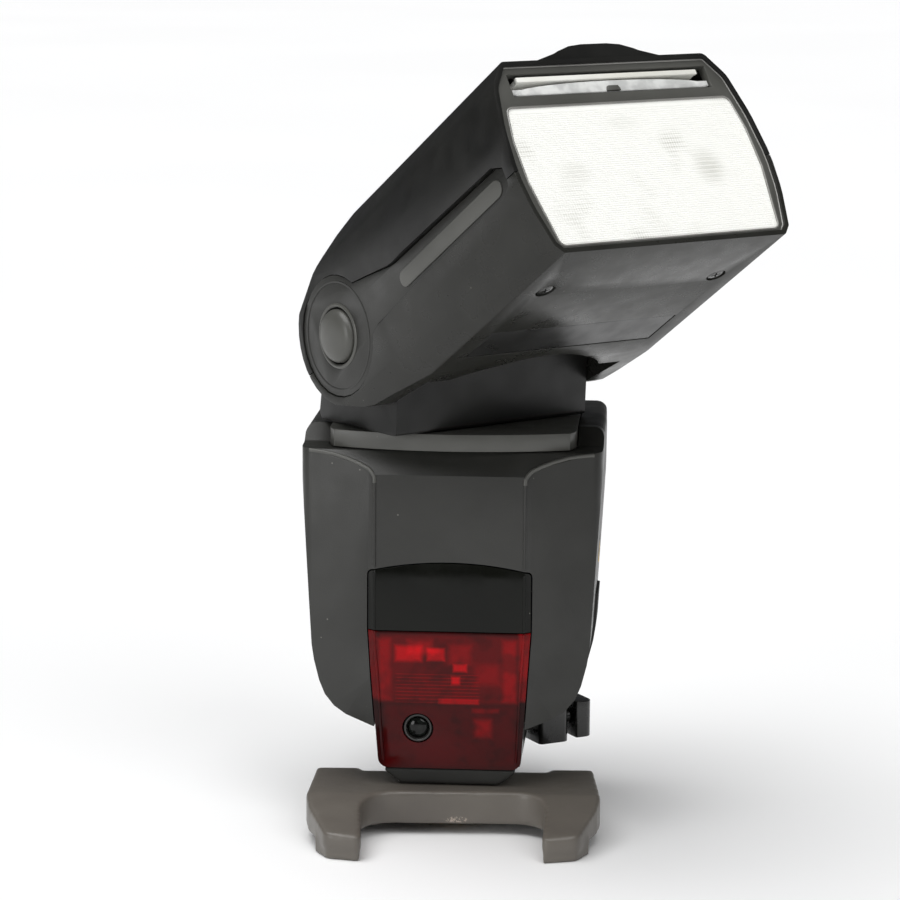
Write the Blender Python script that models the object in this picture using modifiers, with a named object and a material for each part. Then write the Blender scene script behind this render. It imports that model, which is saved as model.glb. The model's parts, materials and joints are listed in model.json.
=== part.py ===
"""Speedlight flash standing on its mini stand.

Metres, +Z up. The origin is on the floor under the head's swivel axis, the front of the flash
faces -Y, and the head is stored swivelled and tilted. Pieces of the head are modelled level in
the head's own frame, whose origin is the tilt axis, and are hung from an empty on that axis.
"""

import math

import bmesh
import bpy
from mathutils import Matrix, Vector

# Clearances
GAP = 0.0003  # between pieces that touch
SMALL_GAP = 0.0002  # round small buttons, contacts and along shell seams
OVER = 0.004  # how far a cutter runs past the face that it opens
CLEAR = 0.0005  # keeps the faces of two outlines that shape one form from falling together
ARC_STEP = math.radians(15)  # turn between two points of a rounded corner

# Head pose at rest and the heights of its two axes
SWIVEL_ANGLE = math.radians(40.7)
TILT_ANGLE = math.radians(34.3)
TILT_DOWN = math.radians(7)  # furthest below level
BODY_TOP = 0.0979
TILT_AXIS_Z = BODY_TOP + 0.0235

# Stand
STAND_TOP = 0.0109
STAND_TURN = math.radians(3)  # the shoe sits a little turned in its loose slot
STAND_LOOSE = 0.0006  # play on each side of the shoe, which leaves room for that turn
STAND_LEG_SPREAD = 0.0350  # half width
STAND_FOOT_FRONT = -0.0473
STAND_FOOT_HEIGHT = 0.0060
STAND_BAR_FRONT = -0.0243
STAND_REAR = 0.0165
STAND_REAR_HEIGHT = 0.0032
STAND_CREST_Y = -0.0035  # behind it the top slopes down to the rear
STAND_SLOT_HALF = 0.0140  # half width of the block that holds the shoe
STAND_SLOT_REAR = 0.0105
STAND_CLEARANCE = 0.0028  # floor to the underside between the feet
CENTRE_PAD_HALF = 0.0045  # half width of the rest under the shoe
BUSH_Y = -0.0155
BUSH_RADIUS = 0.0042
BUSH_BORE = 0.0031
BUSH_LENGTH = 0.0058

# Mounting foot (accessory shoe sizes)
FOOT_WIDTH = 0.0186
FOOT_LENGTH = 0.0180
FOOT_THICKNESS = 0.0020
FOOT_NECK_WIDTH = 0.0125
FOOT_BOTTOM = 0.0075
FOOT_NECK_TOP = 0.0150
SLOT_DEPTH_GAP = 0.0003
PIN_Y = -0.0055
PIN_RADIUS = 0.0011
CONTACT_RADIUS = 0.0009
CONTACT_SPACING = 0.0027
CONTACT_ROW_Y = 0.0048

# Foot housing and lock lever
SKIRT_BOTTOM = STAND_TOP + GAP
SKIRT_TOP = 0.0153
BASE_TOP = 0.0257
BASE_HALF_WIDTH = 0.0169
LEVER_PIVOT_Y = 0.0040
LEVER_REST = math.radians(31)  # direction of the lever from +X
LEVER_SWING = math.radians(75)
LEVER_REACH = 0.0295  # radius to the end of the paddle
LEVER_TIP = 0.0360  # radius to the end of the release button
LEVER_WIDTH = 0.0100
LEVER_BOTTOM = 0.0138
LEVER_TOP = 0.0243
LEVER_ARM_THICKNESS = 0.0030
RELEASE_TRAVEL = 0.0015
BASE_REAR_RADIUS = 0.0205

# Body casing
BODY_HALF_WIDTH = 0.0362
BODY_FRONT = -0.0250
BODY_REAR = 0.0340
BODY_BOTTOM = 0.0260
BODY_WALL = 0.0021
PANEL_HALF_WIDTH = 0.0179
PANEL_TOP = BODY_TOP - 0.0099
SHOULDER_Z = BODY_TOP - 0.0041
COVER_SEAM_Y = -0.0040
WINDOW_HALF_WIDTH = 0.0195
WINDOW_SPLIT_Z = 0.0505
WINDOW_BOTTOM = 0.0156
WINDOW_THICKNESS = 0.0020
METER_RADIUS = 0.0036
METER_X = -0.0076
METER_Z = 0.0260

# Neck
HEAD_HALF_WIDTH = 0.03735
NECK_PLATE_TOP = BODY_TOP + 0.0003
NECK_PLATE_HALF_WIDTH = BODY_HALF_WIDTH - 0.0066
NECK_PLATE_ARC = 0.0866  # radius of its front edge
SHAFT_RADIUS = 0.0120
CABLE_BORE = 0.0085
BLOCK_HALF_WIDTH = HEAD_HALF_WIDTH - 0.00885
BLOCK_FRONT = 0.0140
BLOCK_REAR = 0.0180
BARREL_RADIUS = 0.0152
NECK_WALL = 0.0030
HINGE_SHAFT_RADIUS = 0.0034

# Rear controls
DISPLAY_WIDTH = 0.0420
DISPLAY_HEIGHT = 0.0200
DISPLAY_Z = 0.0770
BUTTON_RADIUS = 0.0030
BUTTON_ROW_Z = 0.0600
BUTTON_PITCH = 0.0140
BUTTON_PROUD = 0.0010
DIAL_RADIUS = 0.0105
DIAL_Z = 0.0450
SET_RADIUS = 0.0042
PILOT_RADIUS = 0.0045
SIDE_CONTROL_X = 0.0220
SWITCH_TRAVEL = 0.0040

# Cells and electronics
CELL_RADIUS = 0.0071
CELL_LENGTH = 0.0500
CELL_PITCH = 2 * CELL_RADIUS + 0.0004
CELL_Y = 0.0046  # front column
CELL_Z = 0.0470  # lower row
CELL_X = 0.0070 - BODY_HALF_WIDTH  # ends nearest the door
BOARD_THICKNESS = 0.0012
CAPACITOR_RADIUS = 0.0088
CAPACITOR_LENGTH = 0.0380

# Battery door and terminals
DOOR_FRONT = CELL_Y - CELL_RADIUS - 0.0001
DOOR_REAR = 0.0250
DOOR_BOTTOM = 0.0385
DOOR_TOP = 0.0702
DOOR_PIVOT_Y = 0.0262
DOOR_PIVOT_X = 0.0027 - BODY_HALF_WIDTH
DOOR_KNUCKLE = 0.0014
DOOR_PIN_RADIUS = 0.0006
LATCH_TRAVEL = 0.0025
FLAP_FRONT = 0.0060
FLAP_REAR = 0.0210
FLAP_BOTTOM = 0.0370
FLAP_TOP = 0.0540
FLAP_PROUD = 0.0007  # above the casing's side
FLAP_SUNK = 0.0010  # into the casing's side
FLAP_PIVOT_X = BODY_HALF_WIDTH - 0.0019
SOCKET_HEIGHTS = (0.0415, 0.0495)

# Head
HEAD_TOP = 0.0250
HEAD_BOTTOM = -0.0230
HEAD_FRONT = 0.0830  # tilt axis to the front edge
HEAD_REAR_RADIUS = 0.0172
HEAD_WALL = 0.0018
HEAD_RIM = 0.0012
HEAD_SEAM = -0.0025
HINGE_HALF_WIDTH = HEAD_HALF_WIDTH - 0.00175
TRIM_RADIUS = 0.0144
TRIM_OUT = HEAD_HALF_WIDTH - 0.0020
TRIM_THICKNESS = 0.0011
BAND_FRONT = HEAD_FRONT - 0.0036
LOCK_BUTTON_RADIUS = 0.0065
LOCK_BUTTON_PROUD = 0.0023
FRAME_THICKNESS = 0.0022
FRAME_RECESS = 0.0006
LENS_THICKNESS = 0.0038
PANEL_SLOT_LOW = 0.0163
PANEL_SLOT_HIGH = 0.0220
WIDE_PANEL_HALF_WIDTH = HEAD_HALF_WIDTH - 0.00885
WIDE_PANEL_LOW = 0.0170
WIDE_PANEL_THICKNESS = 0.0014
CATCH_PANEL_HALF_WIDTH = HEAD_HALF_WIDTH - 0.01135
CATCH_PANEL_LOW = 0.0202
CATCH_PANEL_THICKNESS = 0.0010
PANEL_LENGTH = HEAD_FRONT - 0.0375
CATCH_PANEL_LENGTH = PANEL_LENGTH - 0.0055
LABEL_REAR = 0.0320
LABEL_FRONT = 0.0440
LABEL_HALF_WIDTH = 0.0270
PANEL_RECESS = 0.0012
REFLECTOR_HALF_WIDTH = HEAD_HALF_WIDTH - 0.01235
REFLECTOR_FRONT = HEAD_FRONT - 0.0150
REFLECTOR_REAR = HEAD_FRONT - 0.0370
REFLECTOR_LOW = -0.0155
REFLECTOR_HIGH = 0.0135
REFLECTOR_WALL = 0.0009
TUBE_RADIUS = 0.0019
ZOOM_X = HEAD_HALF_WIDTH - 0.00685
ZOOM_Z = -0.0120
MOTOR_RADIUS = 0.0036
SCREW_RADIUS = 0.0010
HEAD_SCREW_X = 0.0250
HEAD_SCREW_L = HEAD_FRONT - 0.0190
HEAD_SCREW_RADIUS = 0.0022


# ---------------------------------------------------------------- tools


def remove_objects(objects):
    for thing in list(objects):
        bpy.data.objects.remove(thing, do_unlink=True)


def collection(name):
    made = bpy.data.collections.new(name)
    bpy.context.scene.collection.children.link(made)
    return made


def link(name, mesh, group="parts"):
    made = bpy.data.objects.new(name, mesh)
    bpy.data.collections[group].objects.link(made)
    if group == "cutters":
        made.hide_render = True
        made.display_type = "WIRE"
    return made


def finish(obj, material, parent=None):
    """Turns a piece and its modifiers into one mesh, gives it its material and hangs it from parent."""
    graph = bpy.context.evaluated_depsgraph_get()
    mesh = bpy.data.meshes.new_from_object(obj.evaluated_get(graph))
    obj.modifiers.clear()
    obj.data = mesh
    mesh.materials.clear()
    mesh.materials.append(material)
    mesh.shade_smooth()
    mesh.set_sharp_from_angle(angle=math.radians(35))
    obj.parent = parent
    return obj


def axis_matrix(axis):
    """Turns local Z onto the world axis, keeping the other two in X, Y, Z order."""
    turns = {
        "X": Matrix(((0, 0, 1), (1, 0, 0), (0, 1, 0))),
        "Y": Matrix(((1, 0, 0), (0, 0, -1), (0, 1, 0))),
        "Z": Matrix.Identity(3),
    }
    return turns[axis].to_4x4()


def block(name, low, high, group="cutters"):
    bm = bmesh.new()
    bmesh.ops.create_cube(bm, size=1.0)
    middle = (Vector(low) + Vector(high)) / 2
    size = Vector(high) - Vector(low)
    bmesh.ops.transform(bm, matrix=Matrix.Translation(middle) @ Matrix.Diagonal(size).to_4x4(),
                        verts=bm.verts)
    mesh = bpy.data.meshes.new(name)
    bm.to_mesh(mesh)
    bm.free()
    return link(name, mesh, group)


def rod(name, axis, middle, radius, low, high, sides=32, end_radius=None, group="cutters"):
    """A cylinder, or a cone, along an axis. middle holds its other two coordinates, in X, Y, Z order."""
    bm = bmesh.new()
    far = radius if end_radius is None else end_radius
    bmesh.ops.create_cone(bm, cap_ends=True, segments=sides, radius1=radius, radius2=far, depth=high - low)
    lift = Matrix.Translation((0, 0, (low + high) / 2))
    centre = {"X": (0, *middle), "Y": (middle[0], 0, middle[1]), "Z": (*middle, 0)}[axis]
    turn = {"X": Matrix.Rotation(math.pi / 2, 4, "Y"), "Y": Matrix.Rotation(-math.pi / 2, 4, "X"),
            "Z": Matrix.Identity(4)}[axis]
    bmesh.ops.transform(bm, matrix=Matrix.Translation(centre) @ turn @ lift, verts=bm.verts)
    mesh = bpy.data.meshes.new(name)
    bm.to_mesh(mesh)
    bm.free()
    return link(name, mesh, group)


def slab(name, axis, outline, low, high, group="cutters"):
    """A flat outline of (a, b) points, pushed along an axis from low to high."""
    curve = bpy.data.curves.new(name, "CURVE")
    curve.dimensions = "2D"
    curve.fill_mode = "BOTH"
    curve.extrude = abs(high - low) / 2
    spline = curve.splines.new("POLY")
    spline.points.add(len(outline) - 1)
    for point, (a, b) in zip(spline.points, outline):
        point.co = (a, b, 0, 1)
    spline.use_cyclic_u = True
    guide = bpy.data.objects.new(name, curve)
    bpy.data.collections["cutters"].objects.link(guide)
    graph = bpy.context.evaluated_depsgraph_get()
    mesh = bpy.data.meshes.new_from_object(guide.evaluated_get(graph))
    bpy.data.objects.remove(guide)
    bpy.data.curves.remove(curve)
    bm = bmesh.new()
    bm.from_mesh(mesh)
    bmesh.ops.remove_doubles(bm, verts=bm.verts, dist=1e-6)
    shift = {"X": ((low + high) / 2, 0, 0), "Y": (0, (low + high) / 2, 0),
             "Z": (0, 0, (low + high) / 2)}[axis]
    bmesh.ops.transform(bm, matrix=Matrix.Translation(shift) @ axis_matrix(axis), verts=bm.verts)
    bmesh.ops.recalc_face_normals(bm, faces=bm.faces)
    bm.to_mesh(mesh)
    bm.free()
    mesh.name = name
    return link(name, mesh, group)


def turned(name, profile, middle, axis="Z", sides=32, group="parts"):
    """A turned shape: profile of (radius, height) points down its outer side, closed by the axis."""
    mesh = bpy.data.meshes.new(name)
    mesh.from_pydata([(r, 0, z) for r, z in profile], [(i, i + 1) for i in range(len(profile) - 1)], [])
    made = link(name, mesh, group)
    screw = made.modifiers.new("turn", "SCREW")
    screw.steps = screw.render_steps = sides
    screw.use_merge_vertices = True
    screw.merge_threshold = 0.00001
    screw.use_normal_calculate = True
    turn = {"X": Matrix.Rotation(math.pi / 2, 4, "Y"), "Y": Matrix.Rotation(-math.pi / 2, 4, "X"),
            "Z": Matrix.Identity(4)}[axis]
    graph = bpy.context.evaluated_depsgraph_get()
    solid = bpy.data.meshes.new_from_object(made.evaluated_get(graph))
    made.modifiers.clear()
    made.data = solid
    bm = bmesh.new()
    bm.from_mesh(solid)
    bmesh.ops.transform(bm, matrix=Matrix.Translation(middle) @ turn, verts=bm.verts)
    bmesh.ops.recalc_face_normals(bm, faces=bm.faces)
    bm.to_mesh(solid)
    bm.free()
    return made


def boolean(obj, other, operation):
    modifier = obj.modifiers.new(operation.lower(), "BOOLEAN")
    modifier.operation = operation
    modifier.object = other
    return obj


def cut(obj, *others):
    for other in others:
        boolean(obj, other, "DIFFERENCE")
    return obj


def join(obj, *others):
    for other in others:
        boolean(obj, other, "UNION")
    return obj


def keep(obj, *others):
    for other in others:
        boolean(obj, other, "INTERSECT")
    return obj


def bevel(obj, width, segments=2, angle=40):
    modifier = obj.modifiers.new("bevel", "BEVEL")
    modifier.width = width
    modifier.segments = segments
    modifier.limit_method = "ANGLE"
    modifier.angle_limit = math.radians(angle)
    return obj


def arc(centre, radius, start, end, count):
    """Points along a circle; angles in degrees."""
    turns = [math.radians(start + (end - start) * i / count) for i in range(count + 1)]
    return [(centre[0] + radius * math.cos(a), centre[1] + radius * math.sin(a)) for a in turns]


def mirrored(half):
    """A whole outline from its half at a > 0, which runs from one side of the b axis to the other."""
    return half + [(-a, b, *rest) for a, b, *rest in reversed(half)]


def rounded(corners, inset=0.0):
    """Corners of (a, b, radius), moved inward by inset and rounded with the radius that is left."""
    count = len(corners)
    turning = sum(corners[i - 1][0] * corners[i][1] - corners[i][0] * corners[i - 1][1] for i in range(count))
    side = 1 if turning > 0 else -1
    moved = []
    for i, (a, b, radius) in enumerate(corners):
        before = (Vector((a, b)) - Vector(corners[i - 1][:2])).normalized()
        after = (Vector(corners[(i + 1) % count][:2]) - Vector((a, b))).normalized()
        inward = side * Vector((-(before + after).y, (before + after).x)).normalized()
        across = side * Vector((-before.y, before.x))
        bulge = side * before.cross(after) > 0
        left = max(radius - inset, 0.0) if bulge else radius + inset if radius else 0.0
        moved.append((Vector((a, b)) + inward * inset / max(inward.dot(across), 0.2), before, after, left))
    points = []
    for i, (corner, before, after, radius) in enumerate(moved):
        turn = after.angle_signed(before) if before.length and after.length else 0.0
        if radius < 1e-5 or abs(turn) < 1e-3:
            points.append(tuple(corner))
            continue
        reach = radius * math.tan(abs(turn) / 2)
        start = corner - before * reach
        centre = start + Vector((-before.y, before.x)) * radius * math.copysign(1, turn)
        steps = max(1, round(abs(turn) / ARC_STEP))
        spoke = start - centre
        for k in range(steps + 1):
            angle = turn * k / steps
            turned_spoke = Vector((spoke.x * math.cos(angle) - spoke.y * math.sin(angle),
                                   spoke.x * math.sin(angle) + spoke.y * math.cos(angle)))
            points.append(tuple(centre + turned_spoke))
    return points


def empty(name, place, parent=None, turn=None):
    made = bpy.data.objects.new(name, None)
    bpy.data.collections["parts"].objects.link(made)
    made.location = place
    made.parent = parent
    if turn:
        made.rotation_euler = turn
    return made


def paint(name, hexcode, roughness, metallic=0.0):
    made = bpy.data.materials.new(name)
    made.use_nodes = True
    shader = made.node_tree.nodes["Principled BSDF"]
    levels = [int(hexcode[i:i + 2], 16) / 255 for i in (0, 2, 4)]
    linear = [v / 12.92 if v <= 0.04045 else ((v + 0.055) / 1.055) ** 2.4 for v in levels]
    shader.inputs["Base Color"].default_value = (*linear, 1)
    shader.inputs["Roughness"].default_value = roughness
    shader.inputs["Metallic"].default_value = metallic
    return made


# ---------------------------------------------------------------- stand


def stand_half_outline():
    wide = STAND_LEG_SPREAD
    return [
        (wide - 0.0125, STAND_BAR_FRONT, 0.008),
        (wide - 0.0138, STAND_FOOT_FRONT, 0.0012),
        (wide - 0.0050, STAND_FOOT_FRONT + 0.0020, 0.003),
        (wide + 0.0006, -0.0290, 0.016),
        (wide - 0.0008, -0.0020, 0.012),
        (wide - 0.0050, STAND_REAR, 0.006),
        (0.0190, STAND_REAR - 0.0010, 0.002),
    ]


def foot_pads():
    """A rest in the middle and feet at the corners; the front pair runs to the tips of the legs."""
    pads = []
    wide = STAND_LEG_SPREAD
    top = STAND_CLEARANCE + 0.001
    half = CENTRE_PAD_HALF
    pads.append(block("centre_pad", (-half, -half, 0), (half, half, top)))
    for side in (-1, 1):
        front = [(side * (wide - 0.0135), STAND_FOOT_FRONT + 0.0004),
                 (side * (wide - 0.0055), STAND_FOOT_FRONT + 0.0026),
                 (side * (wide - 0.0022), -0.0385), (side * (wide - 0.0128), -0.0385)]
        pads.append(slab("front_pad", "Z", front, 0, top))
        low, high = sorted((side * (wide - 0.0140), side * (wide - 0.0060)))
        pads.append(block("rear_pad", (low, 0.0030, 0), (high, STAND_REAR - 0.0035, top)))
    return pads


def slope(name, start, end, end_height, half_width):
    """Cutter that takes the top off the stand from start down to end_height at end."""
    past = end + math.copysign(OVER, end - start)
    outline = [(start, STAND_TOP + 0.0001), (end, end_height), (past, end_height - 0.0008),
               (past, STAND_TOP + OVER),
               (start, STAND_TOP + OVER)]
    return slab(name, "X", outline, -half_width, half_width)


def make_stand(materials):
    axis = empty("stand_axis", (0, 0, 0), turn=(0, 0, STAND_TURN))
    stand = slab("mini_stand", "Z", rounded(mirrored(stand_half_outline())), STAND_CLEARANCE, STAND_TOP,
                 "parts")
    bevel(stand, 0.0008, 2)
    floor = FOOT_BOTTOM - SLOT_DEPTH_GAP
    half_plate = FOOT_WIDTH / 2 + STAND_LOOSE
    half_neck = FOOT_NECK_WIDTH / 2 + STAND_LOOSE
    front = -FOOT_LENGTH / 2 - STAND_LOOSE - 0.00015
    lip = FOOT_BOTTOM + FOOT_THICKNESS + GAP
    far = STAND_REAR + OVER
    wide = STAND_LEG_SPREAD + OVER
    middle = 0.0235
    join(stand, *foot_pads())
    cut(
        stand,
        slope("leg_slope", STAND_BAR_FRONT - 0.001, STAND_FOOT_FRONT, STAND_FOOT_HEIGHT, wide),
        slope("rear_slope", STAND_CREST_Y, STAND_REAR, STAND_REAR_HEIGHT, wide),
        slope("middle_slope", STAND_CREST_Y - 0.0025, STAND_REAR, STAND_REAR_HEIGHT - 0.0003, middle),
    )
    low = (-STAND_SLOT_HALF, STAND_CREST_Y - 0.0040, STAND_CLEARANCE + 0.0004)
    slot_block = block("slot_block", low, (STAND_SLOT_HALF, STAND_SLOT_REAR, STAND_TOP - 0.0002))
    join(stand, slot_block)
    groove = PIN_RADIUS + STAND_LOOSE
    cut(
        stand,
        block("slot_undercut", (-half_plate, front, floor), (half_plate, far, lip)),
        block("slot_mouth", (-half_neck, front, floor + 0.001), (half_neck, far, STAND_TOP + OVER)),
        block("pin_groove", (-groove, PIN_Y - 0.0025, floor - 0.0012), (groove, far, floor + 0.001)),
        rod("bush_seat", "Z", (0, BUSH_Y), BUSH_RADIUS + SMALL_GAP, -OVER,
            STAND_CLEARANCE + BUSH_LENGTH + 2 * GAP, 24),
    )
    finish(stand, materials["stand"], axis)
    low, high = STAND_CLEARANCE + GAP, STAND_CLEARANCE + GAP + BUSH_LENGTH
    ring = [(BUSH_BORE, high), (BUSH_BORE, low), (BUSH_RADIUS, low), (BUSH_RADIUS, high), (BUSH_BORE, high)]
    finish(turned("tripod_bush", ring, (0, BUSH_Y, 0), sides=24), materials["brass"], axis)


# ---------------------------------------------------------------- foot and lock


def make_foot(materials):
    half = FOOT_LENGTH / 2
    top = FOOT_BOTTOM + FOOT_THICKNESS
    foot = block("shoe_foot", (-FOOT_WIDTH / 2, -half, FOOT_BOTTOM), (FOOT_WIDTH / 2, half, top), "parts")
    bevel(foot, 0.0003, 1)
    neck = block("foot_neck", (-FOOT_NECK_WIDTH / 2, -half, FOOT_BOTTOM + 0.0005),
                 (FOOT_NECK_WIDTH / 2, half, FOOT_NECK_TOP))
    join(foot, neck)
    cut(foot, rod("pin_hole", "Z", (0, PIN_Y), PIN_RADIUS + GAP, FOOT_BOTTOM - OVER, FOOT_NECK_TOP + OVER,
                  16))
    radius = CONTACT_RADIUS * 1.35
    cut(foot, rod("contact_hole", "Z", (0, 0), radius + SMALL_GAP, FOOT_BOTTOM - OVER, top + 0.0015, 20))
    centre = rod("centre_contact", "Z", (0, 0), radius, FOOT_BOTTOM - 0.00015, top + 0.0010, 16,
                 group="parts")
    finish(centre, materials["brass"])
    reach = 1.5 * CONTACT_SPACING + CONTACT_RADIUS + 0.0004
    low = (-reach, CONTACT_ROW_Y - 0.0014, FOOT_BOTTOM)
    high = (reach, CONTACT_ROW_Y + 0.0014, FOOT_BOTTOM + 0.0010)
    cut(foot, block("contact_seat", [v - SMALL_GAP for v in low], [v + SMALL_GAP for v in high]))
    strip = block("contact_strip", low, high, "parts")
    for i in range(4):
        place = ((i - 1.5) * CONTACT_SPACING, CONTACT_ROW_Y)
        join(strip, rod("contact_pad", "Z", place, CONTACT_RADIUS, FOOT_BOTTOM - 0.00015,
                        FOOT_BOTTOM + 0.0005, 12))
    finish(strip, materials["brass"])
    finish(foot, materials["steel"])


def base_outline(inset=0.0):
    """Plan of the foot housing: straight sides, and a rear that is round about the lever's pivot."""
    half = BASE_HALF_WIDTH - inset
    radius = BASE_REAR_RADIUS - inset
    turn = math.degrees(math.acos(half / radius))
    rear = arc((0, LEVER_PIVOT_Y), radius, turn, 180 - turn, 10)
    return [(-half, BODY_FRONT), (half, BODY_FRONT)] + rear


def make_skirt(materials):
    """The soft skirt that closes round the shoe."""
    front = [(0.0118, SKIRT_BOTTOM, 0.0012), (BASE_HALF_WIDTH, SKIRT_TOP, 0.0005)]
    side = [(-0.0188, SKIRT_BOTTOM, 0.001), (-0.0198, SKIRT_TOP, 0.0), (0.0196, SKIRT_TOP, 0.0),
            (0.0165, SKIRT_BOTTOM, 0.001)]
    skirt = slab("foot_skirt", "Y", rounded(mirrored(front)), BODY_FRONT, BODY_REAR, "parts")
    keep(skirt, slab("skirt_side", "X", rounded(side), -0.03, 0.03),
         slab("skirt_plan", "Z", base_outline(), 0, 0.03))
    hole = (FOOT_NECK_WIDTH / 2 + GAP, FOOT_LENGTH / 2 + GAP)
    cut(skirt, block("skirt_hole", (-hole[0], -hole[1], SKIRT_BOTTOM - OVER),
                     (hole[0], hole[1], SKIRT_TOP + OVER)))
    finish(skirt, materials["rubber"])


def lever_sector(name, radius, low, high, spare=math.radians(15)):
    start = LEVER_REST - spare
    end = LEVER_REST + LEVER_SWING + spare
    fan = arc((0, LEVER_PIVOT_Y), radius, math.degrees(start), math.degrees(end), 12)
    return slab(name, "Z", [(0, LEVER_PIVOT_Y)] + fan, low, high)


def make_base(materials):
    bottom = SKIRT_TOP + GAP
    base = slab("foot_housing", "Z", base_outline(), bottom, BASE_TOP, "parts")
    behind_window = -0.0197 + WINDOW_THICKNESS + GAP + 0.0002
    middle = (LEVER_BOTTOM + LEVER_TOP) / 2
    reach = LEVER_ARM_THICKNESS / 2 + GAP
    neck = (FOOT_NECK_WIDTH / 2 + GAP, FOOT_LENGTH / 2 + GAP)
    cut(
        base,
        block("front_trim", (-0.03, BODY_FRONT - OVER, bottom - OVER),
              (0.03, behind_window, BASE_TOP + OVER)),
        block("neck_pocket", (-neck[0], -neck[1], bottom - OVER), (neck[0], neck[1], FOOT_NECK_TOP + GAP)),
        rod("hub_pocket", "Z", (0, LEVER_PIVOT_Y), 0.0053, middle - reach, middle + reach, 24),
        rod("pin_hole_base", "Z", (0, PIN_Y), PIN_RADIUS + GAP, bottom - OVER, 0.0185, 16),
        lever_sector("arm_slot", BASE_REAR_RADIUS + OVER, middle - reach, middle + reach),
    )
    finish(base, materials["shell"])
    pin = rod("locking_pin", "Z", (0, PIN_Y), PIN_RADIUS, FOOT_BOTTOM + 0.0004, 0.0165, 16, group="parts")
    finish(pin, materials["steel"])


def make_lever(materials):
    """Paddle, arm and hub of the shoe lock, modelled along +X and turned to the stored angle."""
    middle = (LEVER_BOTTOM + LEVER_TOP) / 2
    half_arm = LEVER_ARM_THICKNESS / 2
    inner = BASE_REAR_RADIUS + 0.0005
    pivot = empty("lever_axis", (0, LEVER_PIVOT_Y, 0), turn=(0, 0, LEVER_REST))
    half = LEVER_WIDTH / 2
    paddle = [(inner, -half, 0.001), (LEVER_REACH, -half, 0.002), (LEVER_REACH, half, 0.002),
              (inner, half, 0.001)]
    lever = slab("lock_lever", "Z", rounded(paddle), LEVER_BOTTOM, LEVER_TOP, "parts")
    bevel(lever, 0.0006, 2)
    join(
        lever,
        slab("arm", "Z", [(0.002, -0.0005), (inner + 0.001, -half * 0.8), (inner + 0.001, half * 0.8),
                          (0.002, 0.0005)],
             middle - half_arm, middle + half_arm),
        rod("hub", "Z", (0, 0), 0.0050, middle - half_arm, middle + half_arm, 24),
    )
    stem_radius = 0.0018
    cut(lever, rod("stem_hole", "X", (0, middle), stem_radius + SMALL_GAP, inner + 0.001, LEVER_TIP, 16))
    finish(lever, materials["gloss"], pivot)
    start = LEVER_REACH + RELEASE_TRAVEL + GAP
    cap = [(start, -half, 0.0005), (LEVER_TIP, -half, 0.002), (LEVER_TIP, half, 0.002), (start, half, 0.0005)]
    button = slab("lock_release_button", "Z", rounded(cap), LEVER_BOTTOM + 0.0006, LEVER_TOP - 0.0006,
                  "parts")
    join(button, rod("stem", "X", (0, middle), stem_radius, inner + 0.0035, start + 0.001, 16))
    finish(button, materials["gloss"], pivot)


# ---------------------------------------------------------------- body casing


def body_plan():
    return mirrored([
        (PANEL_HALF_WIDTH, BODY_FRONT, 0.0006), (PANEL_HALF_WIDTH + 0.0015, BODY_FRONT + 0.0013, 0),
        (BODY_HALF_WIDTH - 0.0002, -0.0200, 0.0035), (BODY_HALF_WIDTH, 0.0100, 0.02),
        (BODY_HALF_WIDTH - 0.0008, BODY_REAR, 0.007),
    ])


def body_front_view():
    return mirrored([
        (0.0180, BODY_BOTTOM, 0.004), (BODY_HALF_WIDTH - 0.0060, 0.0315, 0.012),
        (BODY_HALF_WIDTH - 0.0028, 0.0440, 0.02),
        (BODY_HALF_WIDTH - 0.0003, 0.0860, 0.03), (BODY_HALF_WIDTH, BODY_TOP, 0.0025),
    ])


def body_side_view():
    """(y, z) corners; the front leans back below the windows' split, and the top steps up to the neck."""
    return [
        (-0.0196, 0.0100, 0), (BODY_FRONT - CLEAR, WINDOW_SPLIT_Z, 0.010),
        (BODY_FRONT - CLEAR, PANEL_TOP, 0.0012),
        (-0.0203, SHOULDER_Z, 0.001), (-0.0125, SHOULDER_Z + 0.0003, 0.002), (-0.0060, BODY_TOP + CLEAR, 0),
        (BODY_REAR + CLEAR, BODY_TOP + CLEAR, 0.004), (BODY_REAR + CLEAR, 0.0335, 0.008),
        (0.0240, BODY_BOTTOM, 0),
        (0.0240, 0.0100, 0),
    ]


def body_form(name, outline, inset=0.0, group="cutters"):
    """The casing's outer form inside a front-view outline, or the same shape moved inward by inset."""
    form = slab(name, "Z", rounded(body_plan(), inset), 0.0050, 0.1100, group)
    side = slab(name + "_side", "X", rounded(body_side_view(), inset), -0.05, 0.05)
    front = slab(name + "_front", "Y", outline, -0.04, 0.05)
    return keep(form, side, front)


def neck_plate_outline(grow=0.0):
    half = NECK_PLATE_HALF_WIDTH
    front = [(a, b, 0) for a, b in arc((0, NECK_PLATE_ARC - 0.0233), NECK_PLATE_ARC, -89, -71, 6)]
    return rounded(mirrored(front + [(half, -0.0155, 0.006), (half, 0.0250, 0.006)]), -grow)


def window_outline(low, high, arch, grow=0.0):
    """Front-view outline of a window: nearly straight sides, and a top that rises by arch in the middle."""
    half = WINDOW_HALF_WIDTH
    foot = half - (half - 0.0172) * (WINDOW_SPLIT_Z - low) / (WINDOW_SPLIT_Z - WINDOW_BOTTOM)
    corner = 0.0025 if low == WINDOW_BOTTOM else 0.0
    corners = [(foot, low, corner)]
    if low < WINDOW_SPLIT_Z:
        corners.append((half, WINDOW_SPLIT_Z, 0))
    if arch:
        radius = (half ** 2 + arch ** 2) / (2 * arch)
        spread = math.degrees(math.asin(half / radius))
        top = arc((0, high + arch - radius), radius, 90 - spread, 90 - spread / 12, 6)
        corners += [(*top[0], 0.0012)] + [(a, b, 0) for a, b in top[1:]]
    return rounded(mirrored(corners), -grow)


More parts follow.
